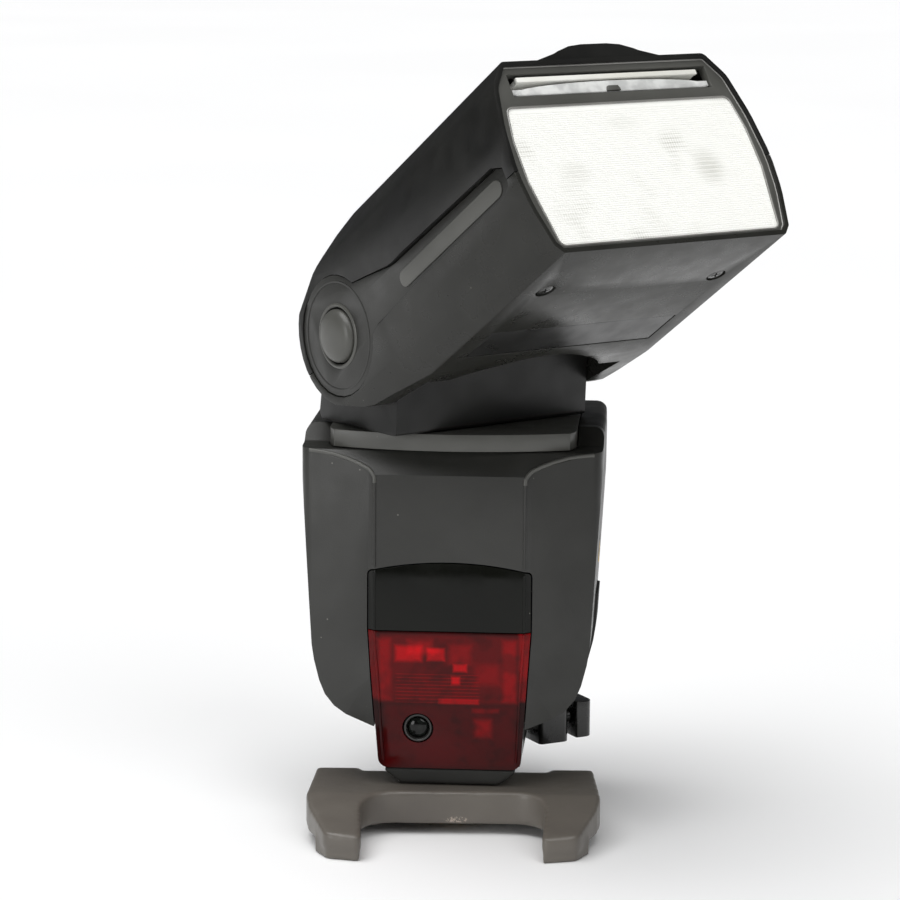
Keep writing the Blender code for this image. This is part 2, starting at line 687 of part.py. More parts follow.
def casing_hollow():
    hollow = body_form("casing_hollow", rounded(body_front_view(), BODY_WALL), BODY_WALL)
    cut(hollow, block("hollow_top", (-0.05, -0.03, SHOULDER_Z - BODY_WALL), (0.05, 0.05, 0.12)))
    return hollow


def window_opening():
    both = window_outline(WINDOW_BOTTOM, 0.0650, 0.0023, GAP)
    return slab("window_opening", "Y", both, BODY_FRONT - OVER, BODY_FRONT + 0.0105)


def make_casing(materials):
    hollow = casing_hollow()
    pocket = slab("neck_pocket", "Z", neck_plate_outline(GAP), SHOULDER_Z, BODY_TOP + OVER)
    shaft_hole = rod("shaft_hole", "Z", (0, 0), SHAFT_RADIUS + GAP, 0.0800, 0.1000, 48)
    front = body_form("front_cover", rounded(body_front_view()), group="parts")
    front_half = block("front_half", (-0.05, -0.05, 0), (0.05, COVER_SEAM_Y - SMALL_GAP / 2, 0.12))
    keep(front, front_half)
    cut(front, hollow, pocket, shaft_hole, window_opening())
    finish(front, materials["shell"])
    rear = body_form("rear_cover", rounded(body_front_view()), group="parts")
    keep(rear, block("rear_half", (-0.05, COVER_SEAM_Y + SMALL_GAP / 2, 0), (0.05, 0.05, 0.12)))
    cut(rear, hollow, pocket, shaft_hole)
    cut(rear, *control_openings())
    cut(rear, *side_openings())
    finish(rear, materials["shell"])


def make_neck_plate(materials):
    plate = slab("neck_plate", "Z", neck_plate_outline(), SHOULDER_Z + GAP, NECK_PLATE_TOP, "parts")
    bevel(plate, 0.0004, 2)
    cut(plate, rod("plate_hole", "Z", (0, 0), SHAFT_RADIUS + GAP, 0.0800, 0.1100, 48))
    finish(plate, materials["shell"])


def make_windows(materials):
    behind = body_form("behind_windows", rounded(mirrored([(0.03, 0.0135, 0), (0.03, 0.08, 0)])),
                       WINDOW_THICKNESS)
    sensor = body_form("sensor_window", window_outline(WINDOW_SPLIT_Z + SMALL_GAP, 0.0650, 0.0023),
                       group="parts")
    back = block("window_back", (-0.05, -0.0160, 0), (0.05, 0.05, 0.10))
    cut(sensor, behind, back)
    finish(sensor, materials["dark_window"])
    red = body_form("af_window", window_outline(WINDOW_BOTTOM, WINDOW_SPLIT_Z, 0), group="parts")
    cut(red, behind, back, rod("meter_hole", "Y", (METER_X, METER_Z), METER_RADIUS + SMALL_GAP, -0.04, 0, 24))
    finish(red, materials["red_window"])
    front = -0.0210
    meter = rod("metering_sensor", "Y", (METER_X, METER_Z), METER_RADIUS, front, front + 0.0035, 24,
                group="parts")
    finish(meter, materials["lens"])
    lens = block("af_beam_lens", (-0.0120, -0.0195, 0.0340), (0.0120, -0.0165, 0.0460), "parts")
    bevel(lens, 0.0008, 2)
    finish(lens, materials["clear"])


# ---------------------------------------------------------------- rear controls and electronics


def button_places():
    names = ("light_button", "mode_button", "sync_button", "zoom_button")
    return {name: ((1.5 - i) * BUTTON_PITCH, BUTTON_ROW_Z) for i, name in enumerate(names)}


def control_openings():
    """Holes through the rear wall and the seats on its outer face."""
    inside = BODY_REAR - 0.0080
    out = BODY_REAR + OVER
    holes = [rod("button_hole", "Y", place, BUTTON_RADIUS + SMALL_GAP, inside, out, 20) for place in
             button_places().values()]
    holes.append(rod("set_hole", "Y", (0, DIAL_Z), SET_RADIUS + GAP, inside, out, 24))
    holes.append(rod("dial_seat", "Y", (0, DIAL_Z), DIAL_RADIUS + GAP, BODY_REAR - 0.0010, out, 48))
    holes.append(rod("pilot_hole", "Y", (SIDE_CONTROL_X, DIAL_Z), PILOT_RADIUS + SMALL_GAP, inside, out, 24))
    lamp = (SIDE_CONTROL_X, DIAL_Z + 0.0085)
    holes.append(block("lamp_hole", (lamp[0] - 0.0020 - SMALL_GAP, inside, lamp[1] - 0.0010 - SMALL_GAP),
                       (lamp[0] + 0.0020 + SMALL_GAP, out, lamp[1] + 0.0010 + SMALL_GAP)))
    slot = SWITCH_TRAVEL + 0.0050
    holes.append(block("switch_slot", (-SIDE_CONTROL_X - 0.0022, inside, DIAL_Z - slot / 2),
                       (-SIDE_CONTROL_X + 0.0022, out, DIAL_Z + slot / 2)))
    half = (DISPLAY_WIDTH / 2 + SMALL_GAP, DISPLAY_HEIGHT / 2 + SMALL_GAP)
    holes.append(block("display_hole", (-half[0], inside, DISPLAY_Z - half[1]),
                       (half[0], out, DISPLAY_Z + half[1])))
    return holes


def press_button(name, place, radius, material, proud=BUTTON_PROUD, inner=None):
    back = BODY_REAR - 0.0036 if inner is None else inner
    button = rod(name, "Y", place, radius, back, BODY_REAR + proud, 24 if radius > 0.0035 else 20,
                 group="parts")
    bevel(button, 0.0003, 2)
    return finish(button, material)


def make_controls(materials):
    for name, place in button_places().items():
        press_button(name, place, BUTTON_RADIUS, materials["rubber"])
    press_button("pilot_button", (SIDE_CONTROL_X, DIAL_Z), PILOT_RADIUS, materials["clear"])
    press_button("set_button", (0, DIAL_Z), SET_RADIUS, materials["rubber"], 0.0026)
    lamp = (SIDE_CONTROL_X, DIAL_Z + 0.0085)
    low = (lamp[0] - 0.0020, BODY_REAR - BODY_WALL, lamp[1] - 0.0010)
    high = (lamp[0] + 0.0020, BODY_REAR + 0.0002, lamp[1] + 0.0010)
    finish(block("confirm_lamp", low, high, "parts"), materials["clear"])
    dial_back = BODY_REAR - 0.0010 + GAP
    dial = rod("select_dial", "Y", (0, DIAL_Z), DIAL_RADIUS, dial_back, BODY_REAR + 0.0022, 48, group="parts")
    bevel(dial, 0.0004, 2)
    cut(dial, rod("dial_bore", "Y", (0, DIAL_Z), SET_RADIUS + GAP, BODY_REAR - OVER, BODY_REAR + OVER, 24))
    finish(dial, materials["gloss"])
    make_switch(materials)


def make_switch(materials):
    """Power slider: a ribbed cap outside the wall on a neck through the slot, stored switched off."""
    down = DIAL_Z - SWITCH_TRAVEL / 2
    x = -SIDE_CONTROL_X
    cap = block("power_switch", (x - 0.0036, BODY_REAR + GAP, down - 0.0030),
                (x + 0.0036, BODY_REAR + 0.0018, down + 0.0030),
                "parts")
    bevel(cap, 0.0004, 2)
    join(cap, block("switch_neck", (x - 0.0018, BODY_REAR - 0.0030, down - 0.0020),
                    (x + 0.0018, BODY_REAR + 0.0010, down + 0.0020)))
    finish(cap, materials["gloss"])


def make_display(materials):
    half = (DISPLAY_WIDTH / 2, DISPLAY_HEIGHT / 2)
    window = block("display_window", (-half[0], BODY_REAR - 0.0016, DISPLAY_Z - half[1]),
                   (half[0], BODY_REAR, DISPLAY_Z + half[1]), "parts")
    finish(bevel(window, 0.0003, 1), materials["clear"])
    module = block("display_module", (-half[0] + 0.001, BODY_REAR - 0.0042, DISPLAY_Z - half[1] + 0.001),
                   (half[0] - 0.001, BODY_REAR - 0.0016 - GAP, DISPLAY_Z + half[1] - 0.001), "parts")
    finish(module, materials["display"])
    back = BODY_REAR - 0.0042 - GAP
    board = block("main_board", (-0.0270, back - BOARD_THICKNESS, 0.0390), (0.0270, back, 0.0880), "parts")
    finish(board, materials["board"])


def make_power(materials):
    number = 1
    for row in range(2):
        for column in range(2):
            place = (CELL_Y + column * CELL_PITCH, CELL_Z + row * CELL_PITCH)
            cell = rod(f"battery_cell_{number}", "X", place, CELL_RADIUS, CELL_X, CELL_X + CELL_LENGTH, 24,
                       group="parts")
            finish(bevel(cell, 0.0004, 1), materials["cell"])
            number += 1
    far = CELL_X + CELL_LENGTH + GAP
    low = (far, CELL_Y - CELL_RADIUS, CELL_Z - CELL_RADIUS)
    high = (far + 0.0010, CELL_Y + CELL_PITCH + CELL_RADIUS, CELL_Z + CELL_PITCH + CELL_RADIUS)
    finish(block("battery_contact_plate", low, high, "parts"), materials["steel"])
    place = (0.0145, DOOR_TOP + CAPACITOR_RADIUS + 0.0006)
    can = rod("main_capacitor", "X", place, CAPACITOR_RADIUS, -CAPACITOR_LENGTH / 2, CAPACITOR_LENGTH / 2, 28,
              group="parts")
    finish(bevel(can, 0.0006, 1), materials["cell"])


# ---------------------------------------------------------------- battery door and terminals


def door_box(name, grow=0.0):
    """The part of the left wall that the door takes, as a box that runs past both its faces."""
    return block(name, (-0.05, DOOR_FRONT - grow, DOOR_BOTTOM - grow),
                 (-0.0250, DOOR_REAR + grow, DOOR_TOP + grow))


def flap_box(name, grow=0.0, group="cutters"):
    return block(name, (0.025, FLAP_FRONT - grow, FLAP_BOTTOM - grow),
                 (0.05, FLAP_REAR + grow, FLAP_TOP + grow), group)


def side_openings():
    knuckle = DOOR_KNUCKLE + GAP
    knuckle_room = block("knuckle_room", (-0.05, DOOR_REAR - 0.001, DOOR_BOTTOM - GAP),
                         (DOOR_PIVOT_X + knuckle, DOOR_PIVOT_Y + knuckle, DOOR_TOP + GAP))
    flap_seat = keep(flap_box("flap_seat", GAP), block("right_side", (0.02, -0.05, 0), (0.05, 0.05, 0.1)))
    cut(flap_seat, body_form("flap_floor", rounded(body_front_view(), FLAP_SUNK + GAP), FLAP_SUNK + GAP))
    middle = (FLAP_FRONT + FLAP_REAR) / 2
    sockets = block("terminal_opening", (0.0250, FLAP_FRONT + 0.0015 - SMALL_GAP, 0.0376 - SMALL_GAP),
                    (0.05, FLAP_REAR - 0.0015 + SMALL_GAP, 0.0534 + SMALL_GAP))
    bush = rod("bracket_bush_hole", "X", (middle, 0.0640), 0.0036 + SMALL_GAP, 0.0250, 0.05, 24)
    return [door_box("door_opening", GAP), knuckle_room, flap_seat, sockets, bush]


def make_battery_door(materials):
    axis = empty("battery_door_axis", (DOOR_PIVOT_X, DOOR_PIVOT_Y, 0))
    door = body_form("battery_door", rounded(body_front_view()), group="parts")
    inner = body_form("door_inner", rounded(body_front_view(), BODY_WALL), BODY_WALL)
    keep(door, door_box("door_region"))
    cut(door, inner)
    knuckle = rod("knuckle", "Z", (DOOR_PIVOT_X, DOOR_PIVOT_Y), DOOR_KNUCKLE, DOOR_BOTTOM, DOOR_TOP, 20)
    web = block("knuckle_web", (DOOR_PIVOT_X - DOOR_KNUCKLE * 0.7, DOOR_REAR - 0.0012, DOOR_BOTTOM),
                (DOOR_PIVOT_X + DOOR_KNUCKLE * 0.7, DOOR_PIVOT_Y - 0.0002, DOOR_TOP))
    join(door, knuckle, web)
    cut(door, rod("pin_bore", "Z", (DOOR_PIVOT_X, DOOR_PIVOT_Y), DOOR_PIN_RADIUS + SMALL_GAP, 0.03, 0.08, 16))
    latch_y = DOOR_FRONT + 0.0065
    latch_z = (DOOR_BOTTOM + DOOR_TOP) / 2
    cut(door, block("latch_seat", (-0.05, latch_y - 0.0030 - GAP, latch_z - 0.0050 - GAP),
                    (0.0026 - BODY_HALF_WIDTH, latch_y + 0.0030 + LATCH_TRAVEL + GAP,
                     latch_z + 0.0050 + GAP)))
    finish(door, materials["shell"])
    pin = rod("battery_door_hinge_pin", "Z", (DOOR_PIVOT_X, DOOR_PIVOT_Y), DOOR_PIN_RADIUS,
              DOOR_BOTTOM - 0.0002,
              DOOR_TOP + 0.0002, 12, group="parts")
    finish(pin, materials["steel"])
    latch = block("battery_door_latch", (0.0010 - BODY_HALF_WIDTH, latch_y - 0.0030, latch_z - 0.0050),
                  (0.0023 - BODY_HALF_WIDTH, latch_y + 0.0030, latch_z + 0.0050), "parts")
    finish(bevel(latch, 0.0003, 2), materials["gloss"])
    for piece in (door, latch):
        piece.parent = axis
        piece.data.transform(Matrix.Translation(-axis.location))


def make_terminals(materials):
    middle = (FLAP_FRONT + FLAP_REAR) / 2
    axis = empty("terminal_cover_axis", (FLAP_PIVOT_X, 0, FLAP_TOP))
    flap = flap_box("terminal_cover", 0.0, "parts")
    keep(flap, body_form("flap_outer", rounded(body_front_view(), -FLAP_PROUD), -FLAP_PROUD))
    cut(flap, body_form("flap_inner", rounded(body_front_view(), FLAP_SUNK), FLAP_SUNK))
    finish(flap, materials["rubber"], axis)
    flap.data.transform(Matrix.Translation(-axis.location))
    behind = FLAP_PIVOT_X - FLAP_SUNK - 0.0034
    terminals = block("terminal_block", (behind - 0.0075, FLAP_FRONT + 0.0015, 0.0376),
                      (behind, FLAP_REAR - 0.0015, 0.0534), "parts")
    for z in SOCKET_HEIGHTS:
        cut(terminals, rod("socket_bore", "X", (middle, z), 0.0024, behind - 0.0050, behind + OVER, 20))
    finish(terminals, materials["steel"])
    bush = rod("bracket_bush", "X", (middle, 0.0640), 0.0036, BODY_HALF_WIDTH - 0.0077,
               BODY_HALF_WIDTH - 0.0016, 24, group="parts")
    cut(bush, rod("bush_bore", "X", (middle, 0.0640), 0.0022, BODY_HALF_WIDTH - 0.0062, 0.05, 20))
    finish(bush, materials["brass"])


# ---------------------------------------------------------------- neck


def make_neck(materials, swivel):
    """Rotating block, modelled facing -Y about the swivel axis: a barrel on the tilt axis over a foot."""
    drop = NECK_PLATE_TOP + GAP - TILT_AXIS_Z
    half = BLOCK_HALF_WIDTH
    front_turn = 10
    outline = [(-BLOCK_FRONT, drop, 0.001), (BLOCK_REAR, drop, 0.002)]
    sides = arc((0, 0), BARREL_RADIUS, -front_turn, 180 + front_turn, 16)
    stem = slab("swivel_base", "X", rounded(outline + [(a, b, 0) for a, b in sides]), -half, half, "parts")
    bevel(stem, 0.0012, 2, angle=60)
    shaft_low = SHOULDER_Z - BODY_WALL - GAP - TILT_AXIS_Z - 0.0030
    join(stem, rod("swivel_shaft", "Z", (0, 0), SHAFT_RADIUS, shaft_low, drop + 0.002, 48))
    cut(
        stem,
        rod("barrel_hollow", "X", (0, 0), BARREL_RADIUS - NECK_WALL, -half + NECK_WALL, half - NECK_WALL, 28),
        rod("cable_bore", "Z", (0, 0), CABLE_BORE, shaft_low - OVER, 0, 28),
        rod("hinge_bore", "X", (0, 0), HINGE_SHAFT_RADIUS + GAP, -half - OVER, half + OVER, 20),
    )
    finish(stem, materials["shell"], swivel)
    reach = half + GAP + 0.0016
    shaft = rod("hinge_shaft", "X", (0, 0), HINGE_SHAFT_RADIUS, -reach, reach, 20, group="parts")
    finish(shaft, materials["steel"], swivel)


# ---------------------------------------------------------------- head (front is -Y, axis at 0, 0)


def head_front_view():
    wide = HEAD_HALF_WIDTH
    return mirrored([
        (wide - 0.0078, HEAD_TOP, 0.002), (wide - 0.00345, HEAD_TOP - 0.0060, 0.006),
        (wide - 0.00105, 0.0086, 0.02),
        (wide, HEAD_SEAM, 0.02), (wide - 0.00085, -0.0114, 0.02),
        (wide - 0.00315, HEAD_BOTTOM + 0.0022, 0.001),
        (wide - 0.00515, HEAD_BOTTOM, 0.001),
    ])


def head_side_view():
    """(y, z): flat top and underside, and a rear end that is round about the tilt axis."""
    rear = arc((-0.0010, 0), HEAD_REAR_RADIUS, 45, -50, 10)
    return (
        [(-HEAD_FRONT - OVER, HEAD_BOTTOM - CLEAR, 0), (-HEAD_FRONT - OVER, HEAD_TOP + CLEAR, 0),
         (-0.0190, HEAD_TOP + CLEAR, 0.02), (-0.0020, 0.0214, 0.03)]
        + [(y, z, 0) for y, z in rear]
        + [(-0.0010, -0.0196, 0.01), (-0.0290, HEAD_BOTTOM - CLEAR, 0.02)]
    )


def head_plan():
    half = HEAD_HALF_WIDTH + 0.0005
    return mirrored([(half, -HEAD_FRONT - OVER, 0), (half, -0.0500, 0.05), (HINGE_HALF_WIDTH, -0.0190, 0.03),
                     (HINGE_HALF_WIDTH, 0.0220, 0)])


def head_form(name, group="parts"):
    form = slab(name, "Y", rounded(head_front_view()), -HEAD_FRONT, 0.025, group)
    side = slab(name + "_side", "X", rounded(head_side_view()), -0.05, 0.05)
    plan = slab(name + "_plan", "Z", rounded(head_plan()), -0.04, 0.04)
    return keep(form, side, plan)


def band_outline(grow=0.0):
    """Hinge disc that runs into a band along the head's side, as (y, z)."""
    disc = arc((0, 0), TRIM_RADIUS + grow, -154, 148, 24)
    return disc + rounded([
        (-0.0181, 0.0062 + grow, 0), (-0.0290, 0.0034 + grow, 0.01), (-BAND_FRONT + 0.0040, 0.0024 + grow, 0),
        (-BAND_FRONT - grow, 0.0005, 0.001), (-BAND_FRONT - grow, -0.0038, 0.001),
        (-BAND_FRONT + 0.0030, -0.0052 - grow, 0), (-0.0162, -0.0052 - grow, 0),
    ])


def neck_room():
    """Room between the head's arms for the neck, over the whole tilt."""
    half = BLOCK_HALF_WIDTH + GAP + 0.0001
    shut = math.cos(TILT_DOWN)
    sink = (TILT_AXIS_Z - NECK_PLATE_TOP - GAP) * math.sin(TILT_DOWN)
    front = BLOCK_FRONT * shut + sink + 0.0008
    roof = BARREL_RADIUS + 2 * GAP + 0.0004
    room = slab("neck_room", "X", rounded([(-front, -0.04, 0), (0.03, -0.04, 0), (0.03, roof, 0),
                                           (-front, roof, 0.012)]),
                -half, half)
    arch = rod("underside_arch", "Z", (0, 0), 0.0283, -0.04, -0.0150, 48)
    return room, arch


def head_hollow():
    mouth = -HEAD_FRONT - OVER
    hollow = slab("head_hollow", "Y", rounded(head_front_view(), HEAD_WALL), mouth, 0)
    side = [(-0.0195, HEAD_TOP), (mouth - OVER, HEAD_TOP), (mouth - OVER, HEAD_BOTTOM),
            (-0.0300, HEAD_BOTTOM),
            (-0.0300, -0.0132), (-0.0195, -0.0132)]
    narrow = HINGE_HALF_WIDTH - HEAD_WALL - 0.0016
    plan = mirrored([(0.04, mouth - 2 * OVER, 0), (0.04, -0.0500, 0), (narrow, -0.0190, 0),
                     (narrow, -0.0150, 0)])
    return keep(hollow, slab("hollow_side", "X", side, -0.05, 0.05),
                slab("hollow_plan", "Z", rounded(plan), -0.04, 0.04))


def trim_seat(side):
    inner = TRIM_OUT - TRIM_THICKNESS - SMALL_GAP
    low, high = sorted((side * inner, side * 0.05))
    return slab("trim_seat", "X", band_outline(SMALL_GAP), low, high)


def make_head_shells(materials, tilt):
    room, arch = neck_room()
    hollow = head_hollow()
    rim = slab("front_rim", "Y", rounded(head_front_view(), HEAD_RIM), -HEAD_FRONT - OVER,
               -HEAD_FRONT + FRAME_RECESS + FRAME_THICKNESS + GAP)
    reach = BLOCK_HALF_WIDTH + 2 * GAP + 0.0017
    bore = rod("arm_bore", "X", (0, 0), HINGE_SHAFT_RADIUS + GAP, -reach, reach, 20)
    well = rod("button_well", "X", (0, 0), LOCK_BUTTON_RADIUS + GAP, -0.05, -reach + 0.0001, 32)
    seats = [trim_seat(-1), trim_seat(1)]
    upper = head_form("head_upper_shell")
    keep(upper, block("upper_half", (-0.05, -0.1, HEAD_SEAM + SMALL_GAP / 2), (0.05, 0.05, 0.05)))
    cut(upper, hollow, room, rim, bore, well, *seats)
    foot, rise = HEAD_TOP - 0.001, HEAD_TOP + 0.0045
    hump = rounded([(-0.0225, foot, 0), (-0.0225, HEAD_TOP + 0.0002, 0), (-0.0150, HEAD_TOP + 0.0012, 0.02),
                    (-0.0075, rise, 0.018), (0.0075, rise, 0.018), (0.0150, HEAD_TOP + 0.0012, 0.02),
                    (0.0225, HEAD_TOP + 0.0002, 0), (0.0225, foot, 0)])
    join(upper, slab("finger_hump", "Y", hump, -HEAD_FRONT + 0.0015, -HEAD_FRONT + 0.0200))
    finish(upper, materials["shell"], tilt)
    lower = head_form("head_lower_shell")
    keep(lower, block("lower_half", (-0.05, -0.1, -0.05), (0.05, 0.05, HEAD_SEAM - SMALL_GAP / 2)))
    cut(lower, hollow, room, arch, rim, bore, well, *seats)
    cut(lower, block("label_seat", (-LABEL_HALF_WIDTH - SMALL_GAP, -LABEL_FRONT, -0.04),
                     (LABEL_HALF_WIDTH + SMALL_GAP, -LABEL_REAR, HEAD_BOTTOM + 0.0008)))
    for side in (-1, 1):
        place = (side * HEAD_SCREW_X, -HEAD_SCREW_L)
        cut(lower, rod("screw_seat", "Z", place, HEAD_SCREW_RADIUS + SMALL_GAP, -0.04, HEAD_BOTTOM + 0.0011,
                       20))
        cut(lower, rod("screw_hole", "Z", place, 0.0012, -0.04, -0.015, 12))
    finish(lower, materials["shell"], tilt)


def make_head_trim(materials, tilt):
    for side, name in ((-1, "hinge_trim_left"), (1, "hinge_trim_right")):
        low, high = sorted((side * (TRIM_OUT - TRIM_THICKNESS), side * TRIM_OUT))
        trim = slab(name, "X", band_outline(), low, high, "parts")
        if side < 0:
            cut(trim, rod("trim_hole", "X", (0, 0), LOCK_BUTTON_RADIUS + GAP, -0.05, 0, 32))
        else:
            join(trim, rod("trim_cap", "X", (0, 0), LOCK_BUTTON_RADIUS, high - 0.0005, high + 0.0008, 32))
        finish(trim, materials["shell"], tilt)
    out = TRIM_OUT + LOCK_BUTTON_PROUD
    dome = [(0.0, 0.0), (0.0030, -0.0003), (0.0052, -0.0010), (LOCK_BUTTON_RADIUS, -0.0024),
            (LOCK_BUTTON_RADIUS, -0.0046),
            (0.0, -0.0046)]
    button = turned("tilt_lock_button", [(r, out + z) for r, z in dome], (0, 0, 0), "Z")
    button.data.transform(Matrix.Rotation(-math.pi / 2, 4, "Y"))
    finish(button, materials["gloss"], tilt)
    plate = block("rating_plate", (-LABEL_HALF_WIDTH, SMALL_GAP - LABEL_FRONT, HEAD_BOTTOM + 0.0001),
                  (LABEL_HALF_WIDTH, -LABEL_REAR - SMALL_GAP, HEAD_BOTTOM + 0.0006), "parts")
    finish(plate, materials["label"], tilt)
    for number, side in enumerate((-1, 1), 1):
        place = (side * HEAD_SCREW_X, -HEAD_SCREW_L)
        screw = rod(f"head_screw_{number}", "Z", place, HEAD_SCREW_RADIUS, HEAD_BOTTOM + 0.0001,
                    HEAD_BOTTOM + 0.0009, 20,
                    group="parts")
        join(screw, rod("screw_shank", "Z", place, 0.0009, HEAD_BOTTOM + 0.0005, HEAD_BOTTOM + 0.0048, 12))
        finish(screw, materials["steel"], tilt)


def lens_corners():
    wide = HEAD_HALF_WIDTH
    return mirrored([(wide - 0.0053, 0.0136, 0.0018), (wide - 0.0027, 0.0000, 0.03),
                     (wide - 0.0058, HEAD_BOTTOM + 0.0020, 0.0018)])


def make_head_front(materials, tilt):
    frame_front = -HEAD_FRONT + FRAME_RECESS
    frame = slab("front_frame", "Y", rounded(head_front_view(), HEAD_RIM + SMALL_GAP), frame_front,
                 frame_front + FRAME_THICKNESS, "parts")
    cut(
        frame,
        slab("lens_opening", "Y", rounded(lens_corners(), -SMALL_GAP), -0.1, 0),
        block("panel_slot", (-WIDE_PANEL_HALF_WIDTH - GAP, -0.1, PANEL_SLOT_LOW),
              (WIDE_PANEL_HALF_WIDTH + GAP, 0, PANEL_SLOT_HIGH)),
    )
    finish(frame, materials["frame"], tilt)
    lens = slab("fresnel_window", "Y", rounded(lens_corners()), frame_front + 0.0002,
                frame_front + 0.0002 + LENS_THICKNESS,
                "parts")
    finish(lens, materials["clear"], tilt)
    panels = (("wide_panel", WIDE_PANEL_HALF_WIDTH, WIDE_PANEL_LOW, WIDE_PANEL_THICKNESS, "clear",
               PANEL_LENGTH),
              ("catchlight_panel", CATCH_PANEL_HALF_WIDTH, CATCH_PANEL_LOW, CATCH_PANEL_THICKNESS, "white",
               CATCH_PANEL_LENGTH))
    for name, half, low, thickness, look, length in panels:
        front = -HEAD_FRONT + PANEL_RECESS
        panel = block(name, (-half, front, low), (half, front + length, low + thickness), "parts")
        finish(panel, materials[look], tilt)


def reflector_profile(inset=0.0):
    """A trough in (y, z): flat mouth, and sides that close to a round back."""
    middle = (REFLECTOR_LOW + REFLECTOR_HIGH) / 2
    half = (REFLECTOR_HIGH - REFLECTOR_LOW) / 2 - inset
    depth = REFLECTOR_FRONT - REFLECTOR_REAR - inset
    points = []
    for i in range(-8, 9):
        share = i / 8
        rise = abs(share) ** 2.6
        points.append((-REFLECTOR_FRONT + depth * (1 - rise), middle + half * share))
    return points


def make_zoom(materials, tilt):
    half = REFLECTOR_HALF_WIDTH
    middle = (REFLECTOR_LOW + REFLECTOR_HIGH) / 2
    reflector = slab("reflector", "X", reflector_profile(), -half, half, "parts")
    mouth = [(y - 0.0002, z) for y, z in reflector_profile(REFLECTOR_WALL)]
    mouth = [(-REFLECTOR_FRONT - 0.001, mouth[0][1])] + mouth + [(-REFLECTOR_FRONT - 0.001, mouth[-1][1])]
    tube_y = -REFLECTOR_REAR - 0.0040
    cut(reflector, slab("reflector_mouth", "X", mouth, -half + REFLECTOR_WALL, half - REFLECTOR_WALL),
        rod("tube_holes", "X", (tube_y, middle), TUBE_RADIUS + GAP, -0.04, 0.04, 16))
    finish(reflector, materials["mirror"], tilt)
    tube = rod("flash_tube", "X", (tube_y, middle), TUBE_RADIUS, -half - 0.0012, half + 0.0012, 16,
               group="parts")
    finish(tube, materials["clear"], tilt)
    low = REFLECTOR_LOW - GAP - 0.0014
    carriage = block("zoom_carriage", (-half, -REFLECTOR_FRONT + 0.002, low),
                     (half + 0.003, -REFLECTOR_REAR, low + 0.0014),
                     "parts")
    join(carriage, block("nut_lug", (ZOOM_X - 0.0025, 0.0210 - HEAD_FRONT, low),
                         (ZOOM_X + 0.0022, 0.0270 - HEAD_FRONT, ZOOM_Z + 0.0028)))
    cut(carriage, rod("nut_bore", "Y", (ZOOM_X, ZOOM_Z), SCREW_RADIUS + GAP, -0.09, 0, 14))
    finish(carriage, materials["shell"], tilt)
    motor = rod("zoom_motor", "Y", (ZOOM_X, ZOOM_Z), MOTOR_RADIUS, 0.0410 - HEAD_FRONT, 0.0515 - HEAD_FRONT,
                20, group="parts")
    finish(motor, materials["steel"], tilt)
    screw = rod("zoom_lead_screw", "Y", (ZOOM_X, ZOOM_Z), SCREW_RADIUS, 0.0090 - HEAD_FRONT,
                0.0407 - HEAD_FRONT, 12, group="parts")
    finish(screw, materials["steel"], tilt)


# ---------------------------------------------------------------- whole object


def make_materials():
    return {
        "shell": paint("satin_black_polycarbonate", "2B2B28", 0.5),
        "gloss": paint("polished_black_plastic", "1E1E1C", 0.3),
        "frame": paint("satin_grey_plastic", "3A3A37", 0.45),
        "stand": paint("textured_brown_grey_plastic", "4E4A46", 0.6),
        "rubber": paint("black_rubber", "232321", 0.7),
        "dark_window": paint("smoked_acrylic", "22231E", 0.15),
        "red_window": paint("deep_red_acrylic", "5A0E10", 0.12),
        "clear": paint("clear_acrylic", "E8E8E0", 0.1),
        "white": paint("white_styrene", "EFEFEA", 0.5),
        "lens": paint("dark_lens", "141414", 0.1),
        "mirror": paint("bright_aluminium", "D8D8D8", 0.1, 1.0),
        "steel": paint("nickel_plated_steel", "B9B9B6", 0.3, 1.0),
        "brass": paint("brass", "C2A35A", 0.3, 1.0),
        "display": paint("display_glass", "8C958A", 0.3),
        "board": paint("circuit_board", "1E5A36", 0.5),
        "cell": paint("shrink_sleeve", "3D4C66", 0.4),
        "label": paint("printed_label", "1C1C1B", 0.4),
    }


def main():
    remove_objects(bpy.data.objects)
    collection("parts")
    collection("cutters")
    materials = make_materials()
    swivel = empty("swivel_axis", (0, 0, TILT_AXIS_Z), turn=(0, 0, SWIVEL_ANGLE))
    tilt = empty("tilt_axis", (0, 0, 0), swivel, (-TILT_ANGLE, 0, 0))
    make_stand(materials)
    make_foot(materials)
    make_skirt(materials)
    make_base(materials)
    make_lever(materials)
    make_casing(materials)
    make_neck_plate(materials)
    make_windows(materials)
    make_controls(materials)
    make_display(materials)
    make_power(materials)
    make_battery_door(materials)
    make_terminals(materials)
    make_neck(materials, swivel)
    make_head_shells(materials, tilt)
    make_head_trim(materials, tilt)
    make_head_front(materials, tilt)
    make_zoom(materials, tilt)
    remove_objects(bpy.data.collections["cutters"].objects)


main()
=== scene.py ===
"""Speedlight flash on its mini stand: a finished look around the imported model."""

import json
import math

import bmesh
import bpy
from bpy.props import FloatProperty, FloatVectorProperty, IntProperty, PointerProperty
from bpy.types import Operator, Panel, PropertyGroup
from mathutils import Euler, Matrix, Vector

